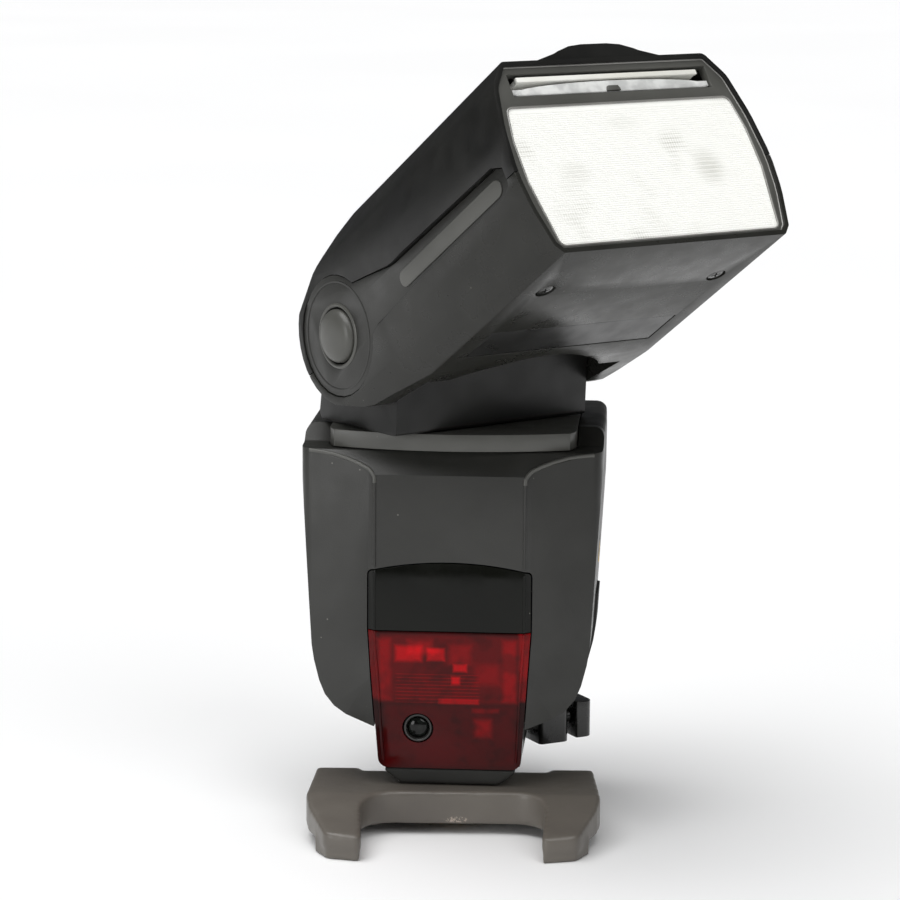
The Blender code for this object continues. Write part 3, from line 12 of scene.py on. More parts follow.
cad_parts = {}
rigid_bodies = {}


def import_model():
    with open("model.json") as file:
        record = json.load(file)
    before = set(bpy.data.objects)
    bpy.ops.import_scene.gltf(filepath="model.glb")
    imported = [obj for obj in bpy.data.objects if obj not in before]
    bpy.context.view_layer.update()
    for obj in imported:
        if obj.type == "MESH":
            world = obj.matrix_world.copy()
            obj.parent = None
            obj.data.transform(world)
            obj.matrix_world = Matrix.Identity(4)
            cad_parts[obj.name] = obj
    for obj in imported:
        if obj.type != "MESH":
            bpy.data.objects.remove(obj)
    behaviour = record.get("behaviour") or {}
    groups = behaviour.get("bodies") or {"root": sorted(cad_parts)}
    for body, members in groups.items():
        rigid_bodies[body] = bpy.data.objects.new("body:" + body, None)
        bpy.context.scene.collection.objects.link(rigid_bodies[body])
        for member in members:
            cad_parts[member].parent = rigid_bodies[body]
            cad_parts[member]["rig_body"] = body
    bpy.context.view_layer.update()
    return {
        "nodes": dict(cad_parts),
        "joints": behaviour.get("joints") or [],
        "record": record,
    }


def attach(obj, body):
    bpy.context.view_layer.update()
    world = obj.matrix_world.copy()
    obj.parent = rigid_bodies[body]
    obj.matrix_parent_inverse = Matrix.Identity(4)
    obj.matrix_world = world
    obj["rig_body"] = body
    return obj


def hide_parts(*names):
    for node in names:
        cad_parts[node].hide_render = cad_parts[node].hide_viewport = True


bl_info = {
    "name": "Speedlight flash",
    "version": (1, 0, 0),
    "blender": (4, 5, 0),
    "location": "View3D > Sidebar > Speedlight",
    "description": "Builds the moulded covers, windows, controls and stand of a speedlight flash",
    "category": "Object",
}

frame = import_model()

MM = 0.001


def joint(name):
    return next(entry for entry in frame["joints"] if entry["name"] == name)


def head_matrix():
    """The head's own frame: X along the tilt axis, -Y the way the window faces, origin on the axis."""
    across = -Vector(joint("head_tilt")["axis"])
    back = -Vector(joint("zoom_travel")["axis"])
    up = across.cross(back)
    turn = Matrix((across, back, up)).transposed().to_4x4()
    return Matrix.Translation(Vector(joint("head_tilt")["pos_m"])) @ turn


HEAD = head_matrix()
SLOT_OF = {part["node"]: part["material_slot"] for part in frame["record"]["subparts"]}

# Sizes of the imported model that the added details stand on, in millimetres
HEAD_SIDE = 35.35  # outer face of the trim on the head's side
LENS_FRONT = 82.2  # front face of the flash window, from the tilt axis
HEAD_UNDER = -23.0
BODY_FRONT = -25.0
BODY_REAR = 34.0
SPLIT_Z = 50.5  # line between the two front windows


def linear(code):
    """sRGB hex to the linear values that Blender works in."""
    levels = [int(code[i:i + 2], 16) / 255 for i in (1, 3, 5)]
    return tuple(v / 12.92 if v <= 0.04045 else ((v + 0.055) / 1.055) ** 2.4 for v in levels)


def colour_property(name, description, code):
    return FloatVectorProperty(name=name, description=description, subtype="COLOR", size=3, min=0.0, max=1.0,
                               default=linear(code))


def length_property(name, description, millimetres):
    return FloatProperty(name=name, description=description, default=millimetres * MM, min=0.0, unit="LENGTH",
                         precision=5)


class SpeedlightSizes(PropertyGroup):
    cover_edge: length_property("Cover edge", "Radius on the outer edges of the moulded covers", 0.7)
    small_edge: length_property("Small edge", "Radius on the edges of buttons, trims and windows", 0.2)
    stand_grid: length_property("Stand grid", "Grid that the stand's soft edges are worked out on", 0.5)
    ridge_pitch: length_property("Window ridge pitch", "Distance between two ridges of the flash window", 0.55)
    ridge_height: length_property("Window ridge height", "How far a ridge stands out of the flash window", 0.10)
    bead_radius: length_property("Bead radius", "Radius of the beads down both sides of the front panel", 0.36)
    dial_ribs: IntProperty(name="Dial ribs", description="Ribs round the select dial", default=40, min=8, max=120)
    grip_ribs: IntProperty(name="Grip ribs", description="Ribs on the switch and the battery door", default=5, min=2,
                           max=12)


class SpeedlightColours(PropertyGroup):
    cover: colour_property("Covers", "Grained black polycarbonate", "#232320")
    gloss: colour_property("Buttons and lever", "Polished black plastic", "#191917")
    frame: colour_property("Front frame", "Satin dark grey plastic", "#4A4A46")
    stand: colour_property("Stand", "Warm grey textured plastic", "#5B5650")
    window: colour_property("Sensor window", "Smoked acrylic", "#0C0D0A")
    red: colour_property("Red window", "Deep red acrylic", "#2A0506")
    # Painted light: the brighter red where parts behind the red window catch the light.
    red_light: colour_property("Red window, lit", "Red acrylic where a part behind it shines through", "#C80510")
    # Painted light: the flash window's white stands for the lit reflector seen through it, and its shaded colour is
    # painted shade where the reflector's edges show.
    lens: colour_property("Flash window", "Clear prismatic acrylic over a bright reflector", "#FFFFFA")
    lens_dark: colour_property("Flash window, shaded", "The same where the reflector's edges show", "#BDBCB2")
    floor: colour_property("Floor", "Plain pale floor", "#FAFAFA")


def sizes():
    return bpy.context.scene.speedlight_sizes


def colours():
    return bpy.context.scene.speedlight_colours


# ---------------------------------------------------------------- materials


def add(tree, kind, values=None, links=None, **settings):
    """Adds a node with its settings, its inputs' values and the outputs that feed it."""
    node = tree.nodes.new(kind)
    for key, value in settings.items():
        setattr(node, key, value)
    for key, value in (values or {}).items():
        node.inputs[key].default_value = value
    for key, source in (links or {}).items():
        tree.links.new(source, node.inputs[key])
    return node


def surface(name, **values):
    """A new material: (material, tree, shader, Object coordinates)."""
    made = bpy.data.materials.new(name)
    made.use_nodes = True
    tree = made.node_tree
    shader = tree.nodes["Principled BSDF"]
    for key, value in values.items():
        shader.inputs[key.replace("_", " ")].default_value = value
    place = add(tree, "ShaderNodeTexCoord").outputs["Object"]
    return made, tree, shader, place


def mixed(tree, share, first, second):
    """Colour between two colours or outputs, by share."""
    node = add(tree, "ShaderNodeMix", links={0: share}, data_type="RGBA")
    for slot, colour in ((6, first), (7, second)):
        if isinstance(colour, tuple):
            node.inputs[slot].default_value = (*colour, 1.0)
        else:
            tree.links.new(colour, node.inputs[slot])
    return node.outputs[2]


def ranged(tree, value, low, high, to_low=0.0, to_high=1.0):
    node = add(tree, "ShaderNodeMapRange", {"From Min": low, "From Max": high, "To Min": to_low, "To Max": to_high},
               {"Value": value}, interpolation_type="SMOOTHSTEP")
    return node.outputs["Result"]


def noise(tree, place, size, detail=2.0):
    """Noise whose lumps are about size metres across."""
    return add(tree, "ShaderNodeTexNoise", {"Scale": 1 / size, "Detail": detail}, {"Vector": place}).outputs["Fac"]


def moulded(name, colour, patch, roughness, grain, depth, dust=0.35, coat=0.0, shine=0.5):
    """Moulded plastic: spark-eroded grain in relief, soft patches and a few pale specks of dust."""
    made, tree, shader, place = surface(name, Coat_Weight=coat, Coat_Roughness=0.12, Specular_IOR_Level=shine)
    base = mixed(tree, ranged(tree, noise(tree, place, 22 * MM, 3.0), 0.35, 0.65), tuple(colour), tuple(patch))
    specks = add(tree, "ShaderNodeTexVoronoi", {"Scale": 1 / (6.5 * MM)}, {"Vector": place})
    marks = ranged(tree, specks.outputs["Distance"], 0.020, 0.034, dust, 0.0)
    tree.links.new(mixed(tree, marks, base, linear("#A9A69E")), shader.inputs["Base Color"])
    rough = ranged(tree, noise(tree, place, 6 * MM, 4.0), 0.3, 0.7, roughness - 0.05, roughness + 0.06)
    tree.links.new(rough, shader.inputs["Roughness"])
    relief = add(tree, "ShaderNodeBump", {"Strength": 0.6, "Distance": depth},
                 {"Height": noise(tree, place, grain, 1.5)})
    tree.links.new(relief.outputs["Normal"], shader.inputs["Normal"])
    return made


def grained_polycarbonate():
    # Injection-moulded polycarbonate with a fine spark grain: satin charcoal that greys where light skims it.
    # The real grain is 0.1 mm; it is drawn at 0.3 mm, because finer would not show.
    return moulded("grained_black_polycarbonate", colours().cover, linear("#292926"), 0.40, 0.3 * MM, 0.03 * MM)


def polished_abs():
    # ABS from a polished mould: nearly black, with clear soft-edged reflections and faint handling marks.
    return moulded("polished_black_abs", colours().gloss, linear("#22221F"), 0.26, 0.8 * MM, 0.006 * MM, 0.15, 0.25)


def dark_polycarbonate():
    # The same polycarbonate in a deeper black, as painted shade on the head's upper cover and the neck block where they
    # fall dark; seen only as dim reflections.
    return moulded("shaded_black_polycarbonate", linear("#171716"), linear("#1D1D1B"), 0.38, 0.3 * MM, 0.01 * MM, 0.2,
                   shine=0.3)


def head_polycarbonate():
    # The covers' polycarbonate where hands have rubbed the grain down: darker, with a tighter, dimmer sheen.
    return moulded("worn_black_polycarbonate", linear("#22221F"), linear("#292926"), 0.30, 0.3 * MM, 0.02 * MM, 0.3,
                   shine=0.3)


def satin_frame():
    # Finely blasted ABS: dark grey, a little brighter than the covers round it. Its lighter grey is also a painted
    # highlight on the shoulder rolls, the neck plate and the tilt lock button with its rings.
    return moulded("satin_grey_abs", colours().frame, linear("#52524E"), 0.36, 0.25 * MM, 0.02 * MM, 0.1)


def stand_plastic():
    # Glass-filled nylon with a coarse mould texture: warm grey-brown, matt, with a pale patch on the lower edge of the
    # front bar.
    made = moulded("textured_grey_nylon", colours().stand, linear("#645F58"), 0.38, 0.4 * MM, 0.04 * MM, 0.2)
    tree = made.node_tree
    shader = tree.nodes["Principled BSDF"]
    place = tree.nodes["Texture Coordinate"].outputs["Object"]
    spot = add(tree, "ShaderNodeVectorMath", {1: (0.0020, -0.0243, 0.0040)}, {0: place}, operation="SUBTRACT")
    wide = add(tree, "ShaderNodeVectorMath", {1: (0.40, 0.6, 1.4)}, {0: spot.outputs[0]}, operation="MULTIPLY")
    far = add(tree, "ShaderNodeVectorMath", links={0: wide.outputs[0]}, operation="LENGTH").outputs["Value"]
    pale_patch = add(tree, "ShaderNodeMath", {2: 0.0}, {0: ranged(tree, far, 0.8 * MM, 1.3 * MM, 0.75, 0.0),
                                                    1: ranged(tree, noise(tree, place, 0.5 * MM), 0.45, 0.6)},
                  operation="MULTIPLY").outputs[0]
    under = shader.inputs["Base Color"].links[0].from_socket
    tree.links.new(mixed(tree, pale_patch, under, linear("#B5A79A")), shader.inputs["Base Color"])
    return made


def painted_rim_highlight():
    # Painted highlight: a glossy mid-grey copy of the frame's ABS on the beads along its raised rims, standing for the
    # tight bright highlights there.
    return moulded("painted_highlight_grey_abs", linear("#6E6D69"), linear("#8A8985"), 0.16, 0.8 * MM, 0.004 * MM, 0.1, 0.8)


def soft_rubber():
    # Moulded elastomer: matt black, no clear reflections.
    return moulded("matt_black_rubber", linear("#20201E"), linear("#272724"), 0.68, 0.35 * MM, 0.02 * MM, 0.12)


def smoked_acrylic():
    # Polished smoked acrylic: near-black with sharp reflections and a few dust specks.
    return moulded("polished_smoked_acrylic", colours().window, linear("#10110D"), 0.14, 3 * MM, 0.003 * MM, 0.3,
                   shine=0.2)


def soft_box(tree, place, low, high, blur):
    """1 inside a rectangle of X and Z (metres), falling to 0 over blur outside it."""
    middle = ((low[0] + high[0]) / 2, 0, (low[1] + high[1]) / 2)
    half = ((high[0] - low[0]) / 2, 1.0, (high[1] - low[1]) / 2)
    away = add(tree, "ShaderNodeVectorMath", {1: middle}, {0: place}, operation="SUBTRACT")
    away = add(tree, "ShaderNodeVectorMath", links={0: away.outputs[0]}, operation="ABSOLUTE")
    away = add(tree, "ShaderNodeVectorMath", {1: half}, {0: away.outputs[0]}, operation="SUBTRACT")
    parts = add(tree, "ShaderNodeSeparateXYZ", links={0: away.outputs[0]})
    furthest = add(tree, "ShaderNodeMath", links={0: parts.outputs["X"], 1: parts.outputs["Z"]}, operation="MAXIMUM")
    return ranged(tree, furthest.outputs[0], 0.0, blur, 1.0, 0.0)


# Parts behind the red window, lit through it and drawn as painted light: (left, bottom, right, top, blur, share of the
# lit colour), millimetres
RED_LIGHTS = (
    (-12.0, 44.0, -7.4, 46.2, 1.6, 0.50), (-4.7, 43.9, -1.6, 46.0, 1.0, 0.75), (-9.0, 46.0, -4.9, 47.6, 1.8, 0.30),
    (1.6, 41.2, 3.7, 42.0, 1.0, 0.95), (1.1, 37.9, 2.1, 38.9, 0.9, 0.60), (1.2, 43.6, 4.3, 46.4, 2.0, 0.18),
    (7.8, 38.9, 10.8, 41.2, 2.6, 0.16), (-16.4, 34.2, -15.0, 47.8, 1.8, 0.20), (13.9, 34.2, 15.3, 47.8, 1.8, 0.24),
    (17.4, 34.0, 20.0, 50.2, 1.2, 0.34), (-20.0, 34.0, -17.9, 50.2, 1.2, 0.16), (-2.2, 32.8, 6.7, 33.3, 0.8, 0.34),
    (7.4, 25.2, 8.9, 27.2, 2.2, 0.26), (5.9, 30.6, 11.6, 30.9, 0.8, 0.14), (-14.5, 17.0, 15.0, 31.0, 3.0, 0.07),
    (-16.0, 33.4, 15.8, 49.2, 1.4, 0.13),
)


def red_acrylic():
    # Deep red acrylic, polished outside, over a bank of small prisms: dark red, with brighter blocks and fine lines as
    # painted light where the parts and prisms behind it catch the light.
    made, tree, shader, place = surface("deep_red_acrylic", Roughness=0.09, Specular_IOR_Level=0.16)
    base = mixed(tree, ranged(tree, noise(tree, place, 9 * MM, 3.0), 0.35, 0.65), tuple(colours().red),
                 linear("#1C0807"))
    heights = add(tree, "ShaderNodeSeparateXYZ", links={0: place}).outputs["Z"]
    lines = add(tree, "ShaderNodeMath", {1: 2 * math.pi / (0.9 * MM)}, {0: heights}, operation="MULTIPLY")
    lines = add(tree, "ShaderNodeMath", links={0: lines.outputs[0]}, operation="SINE").outputs[0]
    bank = soft_box(tree, place, (-12 * MM, 33.2 * MM), (6.5 * MM, 39.5 * MM), 1.5 * MM)
    fine = add(tree, "ShaderNodeMath", links={0: ranged(tree, lines, 0.4, 1.0, 0.0, 0.16), 1: bank},
               operation="MULTIPLY").outputs[0]
    broken = ranged(tree, noise(tree, place, 3.2 * MM, 1.0), 0.25, 0.6, 0.55, 1.0)
    glow = add(tree, "ShaderNodeMath", links={0: fine, 1: broken}, operation="MULTIPLY").outputs[0]
    for left, bottom, right, top, blur, share in RED_LIGHTS:
        block = soft_box(tree, place, (left * MM, bottom * MM), (right * MM, top * MM), blur * MM)
        part = add(tree, "ShaderNodeMath", {1: share}, {0: block}, operation="MULTIPLY").outputs[0]
        lit = add(tree, "ShaderNodeMath", links={0: part, 1: broken}, operation="MULTIPLY").outputs[0]
        glow = add(tree, "ShaderNodeMath", links={0: glow, 1: lit}, operation="ADD", use_clamp=True).outputs[0]
    tree.links.new(mixed(tree, glow, base, tuple(colours().red_light)), shader.inputs["Base Color"])
    return made


def prismatic_acrylic():
    # Clear acrylic with prisms on both faces over a bright trough. The colour is painted light: glaring white for the
    # lit trough seen through it, greyed in soft bands of painted shade where the trough's ends show, with fine crossed
    # lines from the inner prisms.
    made, tree, shader, place = surface("prismatic_clear_acrylic", Roughness=0.2, Coat_Weight=0.35,
                                        Coat_Roughness=0.06)
    local = add(tree, "ShaderNodeMapping", {"Location": HEAD.translation, "Rotation": HEAD.to_euler()},
                {"Vector": place}, vector_type="TEXTURE").outputs[0]
    parts = add(tree, "ShaderNodeSeparateXYZ", links={0: local})
    clouds = noise(tree, local, 11 * MM, 1.0)
    columns = add(tree, "ShaderNodeMath", {1: 2 * math.pi / (0.7 * MM)}, {0: parts.outputs["X"]},
                  operation="MULTIPLY").outputs[0]
    columns = add(tree, "ShaderNodeMath", links={0: columns}, operation="SINE").outputs[0]
    rows = add(tree, "ShaderNodeMath", {1: 2 * math.pi / (1.15 * MM)}, {0: parts.outputs["Z"]},
               operation="MULTIPLY").outputs[0]
    rows = add(tree, "ShaderNodeMath", links={0: rows}, operation="SINE").outputs[0]
    weave = add(tree, "ShaderNodeMath", links={0: ranged(tree, columns, 0.0, 1.0, 0.0, 0.35),
                                              1: ranged(tree, rows, 0.0, 1.0, 0.0, 0.4)}, operation="ADD").outputs[0]
    shade = add(tree, "ShaderNodeMath", links={0: ranged(tree, clouds, 0.54, 0.80), 1: weave},
                operation="MULTIPLY").outputs[0]
    ends = 0
    for left, right, low, high, share in ((-25, -15, -7, 0, 0.26), (14, 23, -9, 1, 0.50), (-7, 4, 6, 11, 0.16)):
        middle = add(tree, "ShaderNodeVectorMath", {1: ((left + right) / 2 * MM, 0, (low + high) / 2 * MM)}, {0: local},
                     operation="SUBTRACT").outputs[0]
        shaped = add(tree, "ShaderNodeVectorMath", {1: (2 / (right - left) / MM, 0, 2 / (high - low) / MM)},
                     {0: middle}, operation="MULTIPLY").outputs[0]
        away = add(tree, "ShaderNodeVectorMath", links={0: shaped}, operation="LENGTH").outputs["Value"]
        patch = ranged(tree, away, 0.2, 1.3, share, 0.0)
        patch = add(tree, "ShaderNodeMath", links={0: patch, 1: ranged(tree, rows, -1.0, 1.0, 0.45, 1.0)},
                    operation="MULTIPLY").outputs[0]
        shade = add(tree, "ShaderNodeMath", links={0: shade, 1: patch}, operation="ADD", use_clamp=True).outputs[0]
    tree.links.new(mixed(tree, shade, tuple(colours().lens), tuple(colours().lens_dark)), shader.inputs["Base Color"])
    return made


def clear_panel():
    # Clear acrylic sheet with pressed prisms, seen edge-on: pale grey, glassy, cloudy inside.
    made, tree, shader, place = surface("clear_acrylic_sheet", Roughness=0.10, IOR=1.49, Transmission_Weight=0.25)
    cloud = ranged(tree, noise(tree, place, 3.5 * MM, 2.0), 0.35, 0.65)
    tree.links.new(mixed(tree, cloud, linear("#FAFBF8"), linear("#DADBD9")), shader.inputs["Base Color"])
    return made


def white_styrene():
    # Thin white styrene sheet: bright, softly matt, slightly yellowed in places.
    return moulded("white_styrene_sheet", linear("#F0F0EB"), linear("#E4E3DA"), 0.4, 0.5 * MM, 0.005 * MM, 0.0)


def dark_lens():
    # Coated glass lens: black with a green-grey sheen.
    made, tree, shader, place = surface("coated_glass_lens", Roughness=0.12, Specular_IOR_Level=0.3)
    tint = ranged(tree, noise(tree, place, 1.5 * MM), 0.4, 0.6)
    tree.links.new(mixed(tree, tint, linear("#060605"), linear("#151815")), shader.inputs["Base Color"])
    return made


def metal(name, first, second, roughness, stretch):
    """Bare metal with fine tool marks, long in one direction."""
    made, tree, shader, place = surface(name, Metallic=1.0)
    along = add(tree, "ShaderNodeMapping", {"Scale": stretch}, {"Vector": place}).outputs[0]
    marks = noise(tree, along, 0.25 * MM, 3.0)
    tree.links.new(mixed(tree, ranged(tree, marks, 0.3, 0.7), linear(first), linear(second)),
                   shader.inputs["Base Color"])
    tree.links.new(ranged(tree, marks, 0.3, 0.7, roughness, roughness + 0.14), shader.inputs["Roughness"])
    return made


def bright_aluminium():
    # Vacuum-bright aluminium sheet: mirror-like with faint drawing marks.
    return metal("bright_drawn_aluminium", "#E6E6E4", "#D2D2D0", 0.08, (0.08, 1.0, 1.0))


def plated_steel():
    # Nickel-plated steel: grey, with fine rolling marks.
    return metal("nickel_plated_steel", "#BDBCB8", "#9D9C98", 0.24, (1.0, 0.1, 1.0))


def turned_brass():
    # Brass turned on a lathe: warm yellow with fine rings.
    return metal("turned_brass", "#C9A85E", "#A88848", 0.24, (1.0, 1.0, 6.0))


def display_glass():
    # Liquid-crystal panel under a clear cover with a printed black border: grey-green inside, black round it.
    made, tree, shader, place = surface("liquid_crystal_cover", Roughness=0.14, Coat_Weight=0.6, Coat_Roughness=0.03)
    inside = soft_box(tree, place, (-18.6 * MM, 69.2 * MM), (18.6 * MM, 84.8 * MM), 0.15 * MM)
    grain = ranged(tree, noise(tree, place, 0.4 * MM), 0.3, 0.7)
    field = mixed(tree, grain, linear("#8B9484"), linear("#97A08F"))
    tree.links.new(mixed(tree, inside, linear("#141412"), field), shader.inputs["Base Color"])
    return made


def circuit_board():
    # Glass-epoxy board under green solder mask, with faint copper tracks.
    made, tree, shader, place = surface("green_solder_mask", Roughness=0.35)
    tracks = add(tree, "ShaderNodeTexBrick", {"Scale": 1 / (6 * MM), "Mortar Size": 0.06}, {"Vector": place})
    tree.links.new(mixed(tree, tracks.outputs["Fac"], linear("#1D5233"), linear("#2F7A4C")),
                   shader.inputs["Base Color"])
    return made


def shrink_sleeve():
    # Heat-shrunk PVC sleeve: slate blue, glossy, with slight puckers.
    return moulded("heat_shrunk_sleeve", linear("#3A4964"), linear("#445573"), 0.3, 2.5 * MM, 0.05 * MM, 0.0, 0.2)


def label_film():
    # Satin printed polyester film: black with a slight sheen.
    return moulded("satin_label_film", linear("#191918"), linear("#1E1E1D"), 0.32, 1.5 * MM, 0.004 * MM, 0.1)


MAKERS = {
    "shell": grained_polycarbonate, "dark": dark_polycarbonate, "worn": head_polycarbonate, "gloss": polished_abs, "frame": satin_frame, "stand": stand_plastic,
    "rim": painted_rim_highlight, "rubber": soft_rubber, "dark_window": smoked_acrylic, "red_window": red_acrylic, "clear": clear_panel,
    "white": white_styrene, "lens": dark_lens, "reflector": bright_aluminium, "steel": plated_steel,
    "brass": turned_brass, "display": display_glass, "board": circuit_board, "cell": shrink_sleeve,
    "label": label_film, "prisms": prismatic_acrylic,
}
MADE = {}


def finish_of(slot):
    if slot not in MADE:
        MADE[slot] = MAKERS[slot]()
    return MADE[slot]


# ---------------------------------------------------------------- shapes


def new_object(name, mesh):
    made = bpy.data.objects.new(name, mesh)
    bpy.context.scene.collection.objects.link(made)
    return made


def from_bmesh(name, bm, place=None):
    if place is not None:
        bmesh.ops.transform(bm, matrix=place, verts=bm.verts)
    bmesh.ops.recalc_face_normals(bm, faces=bm.faces)
    mesh = bpy.data.meshes.new(name)
    bm.to_mesh(mesh)
    bm.free()
    return new_object(name, mesh)


def plate(name, outline, low, high, place=None):
    """A flat outline of (a, b) in millimetres, extruded along local Z from low to high."""
    bm = bmesh.new()
    lower = [bm.verts.new((a * MM, b * MM, low * MM)) for a, b in outline]
    upper = [bm.verts.new((a * MM, b * MM, high * MM)) for a, b in outline]
    bm.faces.new(lower)
    bm.faces.new(upper)
    for i in range(len(outline)):
        j = (i + 1) % len(outline)
        bm.faces.new((lower[i], lower[j], upper[j], upper[i]))
    return from_bmesh(name, bm, place)


def lathe(name, profile, place, steps=64):
    """A profile of (radius, height) in millimetres turned round local Z; both ends are closed."""
    bm = bmesh.new()
    rings = []
    for radius, height in profile:
        if radius == 0:
            rings.append([bm.verts.new((0, 0, height * MM))])
            continue
        turns = [2 * math.pi * i / steps for i in range(steps)]
        rings.append([bm.verts.new((radius * MM * math.cos(t), radius * MM * math.sin(t), height * MM))
                      for t in turns])
    for lower, upper in zip(rings, rings[1:] if len(rings[0]) == 1 else rings[1:] + rings[:1]):
        for i in range(steps):
            corners = [lower[i % len(lower)], lower[(i + 1) % len(lower)], upper[(i + 1) % len(upper)],
                       upper[i % len(upper)]]
            bm.faces.new(list(dict.fromkeys(corners)))
    return from_bmesh(name, bm, place)


def tube(name, points, radius, place=None):
    """A round bar along points in millimetres, closed at both ends."""
    curve = bpy.data.curves.new(name, "CURVE")
    curve.dimensions = "3D"
    curve.bevel_depth = radius
    curve.bevel_resolution = 3
    curve.use_fill_caps = True
    spline = curve.splines.new("POLY")
    spline.points.add(len(points) - 1)
    for point, spot in zip(spline.points, points):
        point.co = (*(Vector(spot) * MM), 1)
    guide = new_object(name + "_path", curve)
    mesh = bpy.data.meshes.new_from_object(guide.evaluated_get(bpy.context.evaluated_depsgraph_get()))
    bpy.data.objects.remove(guide)
    bpy.data.curves.remove(curve)
    bm = bmesh.new()
    bm.from_mesh(mesh)
    bpy.data.meshes.remove(mesh)
    bmesh.ops.remove_doubles(bm, verts=bm.verts, dist=1e-7)
    return from_bmesh(name, bm, place)


def stadium(length, width, steps=10):
    """Outline of a bar with round ends, along a, in millimetres."""
    half = length / 2 - width / 2
    points = []
    for side in (1, -1):
        for i in range(steps + 1):
            turn = math.radians(-90 + 180 * i / steps)
            points.append((side * (half + width / 2 * math.cos(turn)), side * width / 2 * math.sin(turn)))
    return points


def merged_copy(node, name):
    """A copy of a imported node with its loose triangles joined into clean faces."""
    bm = bmesh.new()
    bm.from_mesh(frame["nodes"][node].data)
    bmesh.ops.remove_doubles(bm, verts=bm.verts, dist=0.004 * MM)
    bmesh.ops.dissolve_limit(bm, angle_limit=math.radians(0.4), verts=bm.verts, edges=bm.edges)
    mesh = bpy.data.meshes.new(name)
    bm.to_mesh(mesh)
    bm.free()
    return new_object(name, mesh)


def soften(obj, radius, segments=3, angle=33):
    """Rounds the sharp edges."""
    rounding = obj.modifiers.new("rounding", "BEVEL")
    rounding.width = radius
    rounding.segments = segments
    rounding.limit_method = "ANGLE"
    rounding.angle_limit = math.radians(angle)
    rounding.use_clamp_overlap = True
    return obj


def carve(obj, tool, operation="DIFFERENCE"):
    """Cuts a tool out of a piece, or joins it on, and removes the tool."""
    change = obj.modifiers.new("carve", "BOOLEAN")
    change.operation = operation
    change.object = tool
    bake(obj)
    bpy.data.objects.remove(tool)
    return obj


def bake(obj):
    mesh = bpy.data.meshes.new_from_object(obj.evaluated_get(bpy.context.evaluated_depsgraph_get()))
    obj.modifiers.clear()
    obj.data = mesh
    return obj


def settle(obj, body, slot, *nodes, look=None, smooth=38):
    """Finishes a piece: plain mesh, material, shading, the body it rides on and the nodes it stands for."""
    bake(obj)
    obj.data.materials.clear()
    obj.data.materials.append(finish_of(look or slot))
    obj.data.shade_smooth()
    obj.data.set_sharp_from_angle(angle=math.radians(smooth))
    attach(obj, body)
    if nodes:
        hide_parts(*nodes)
    return obj


def refined(node, radius, look=None, segments=3):
    """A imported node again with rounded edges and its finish, in the same place."""
    body = frame["nodes"][node]["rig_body"]
    piece = soften(merged_copy(node, node + "_moulded"), radius, segments)
    return settle(piece, body, SLOT_OF[node], node, look=look)


def melted(node, look, grid, rounds, smooth=80):
    """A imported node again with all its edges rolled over, worked out on a fine grid."""
    piece = merged_copy(node, node + "_moulded")
    even_grid = piece.modifiers.new("grid", "REMESH")
    even_grid.mode = "VOXEL"
    even_grid.voxel_size = grid
    rolled = piece.modifiers.new("rolled", "SMOOTH")
    rolled.factor = 0.5
    rolled.iterations = rounds
    return settle(piece, frame["nodes"][node]["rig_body"], SLOT_OF[node], node, look=look, smooth=smooth)


def front_outline(node):
    """Outline of a head piece's front face in the head's own frame: (across, up) in metres, convex, in order."""
    local = HEAD.inverted() @ frame["nodes"][node].matrix_world
    points = [local @ vertex.co for vertex in frame["nodes"][node].data.vertices]
    front = min(point.y for point in points) + 0.3 * MM
    flat = sorted({(round(p.x, 5), round(p.z, 5)) for p in points if p.y < front})
    halves = []
    for row in (flat, flat[::-1]):
        hull = []
        for spot in row:
            spot = Vector(spot)
            while len(hull) > 1 and (hull[-1] - hull[-2]).cross(spot - hull[-2]) <= 0:
                hull.pop()
            hull.append(spot)
        halves.append(hull[:-1])
    return halves[0] + halves[1]


def side_place(side, x=HEAD_SIDE):
    """Local frame on a side of the head: X forward along the head, Y up, Z outward; it mirrors on the right."""
    turn = Matrix(((0, 0, side), (-1, 0, 0), (0, 1, 0))).to_4x4()
    return HEAD @ Matrix.Translation((side * x * MM, 0, 0)) @ turn


def facing(point, out, up):
    """Place at point (millimetres) whose local Z is out and local Y is up."""
    out, up = Vector(out), Vector(up)
    turn = Matrix((up.cross(out), up, out)).transposed().to_4x4()
    return Matrix.Translation(Vector(point) * MM) @ turn


# ---------------------------------------------------------------- repeated shapes


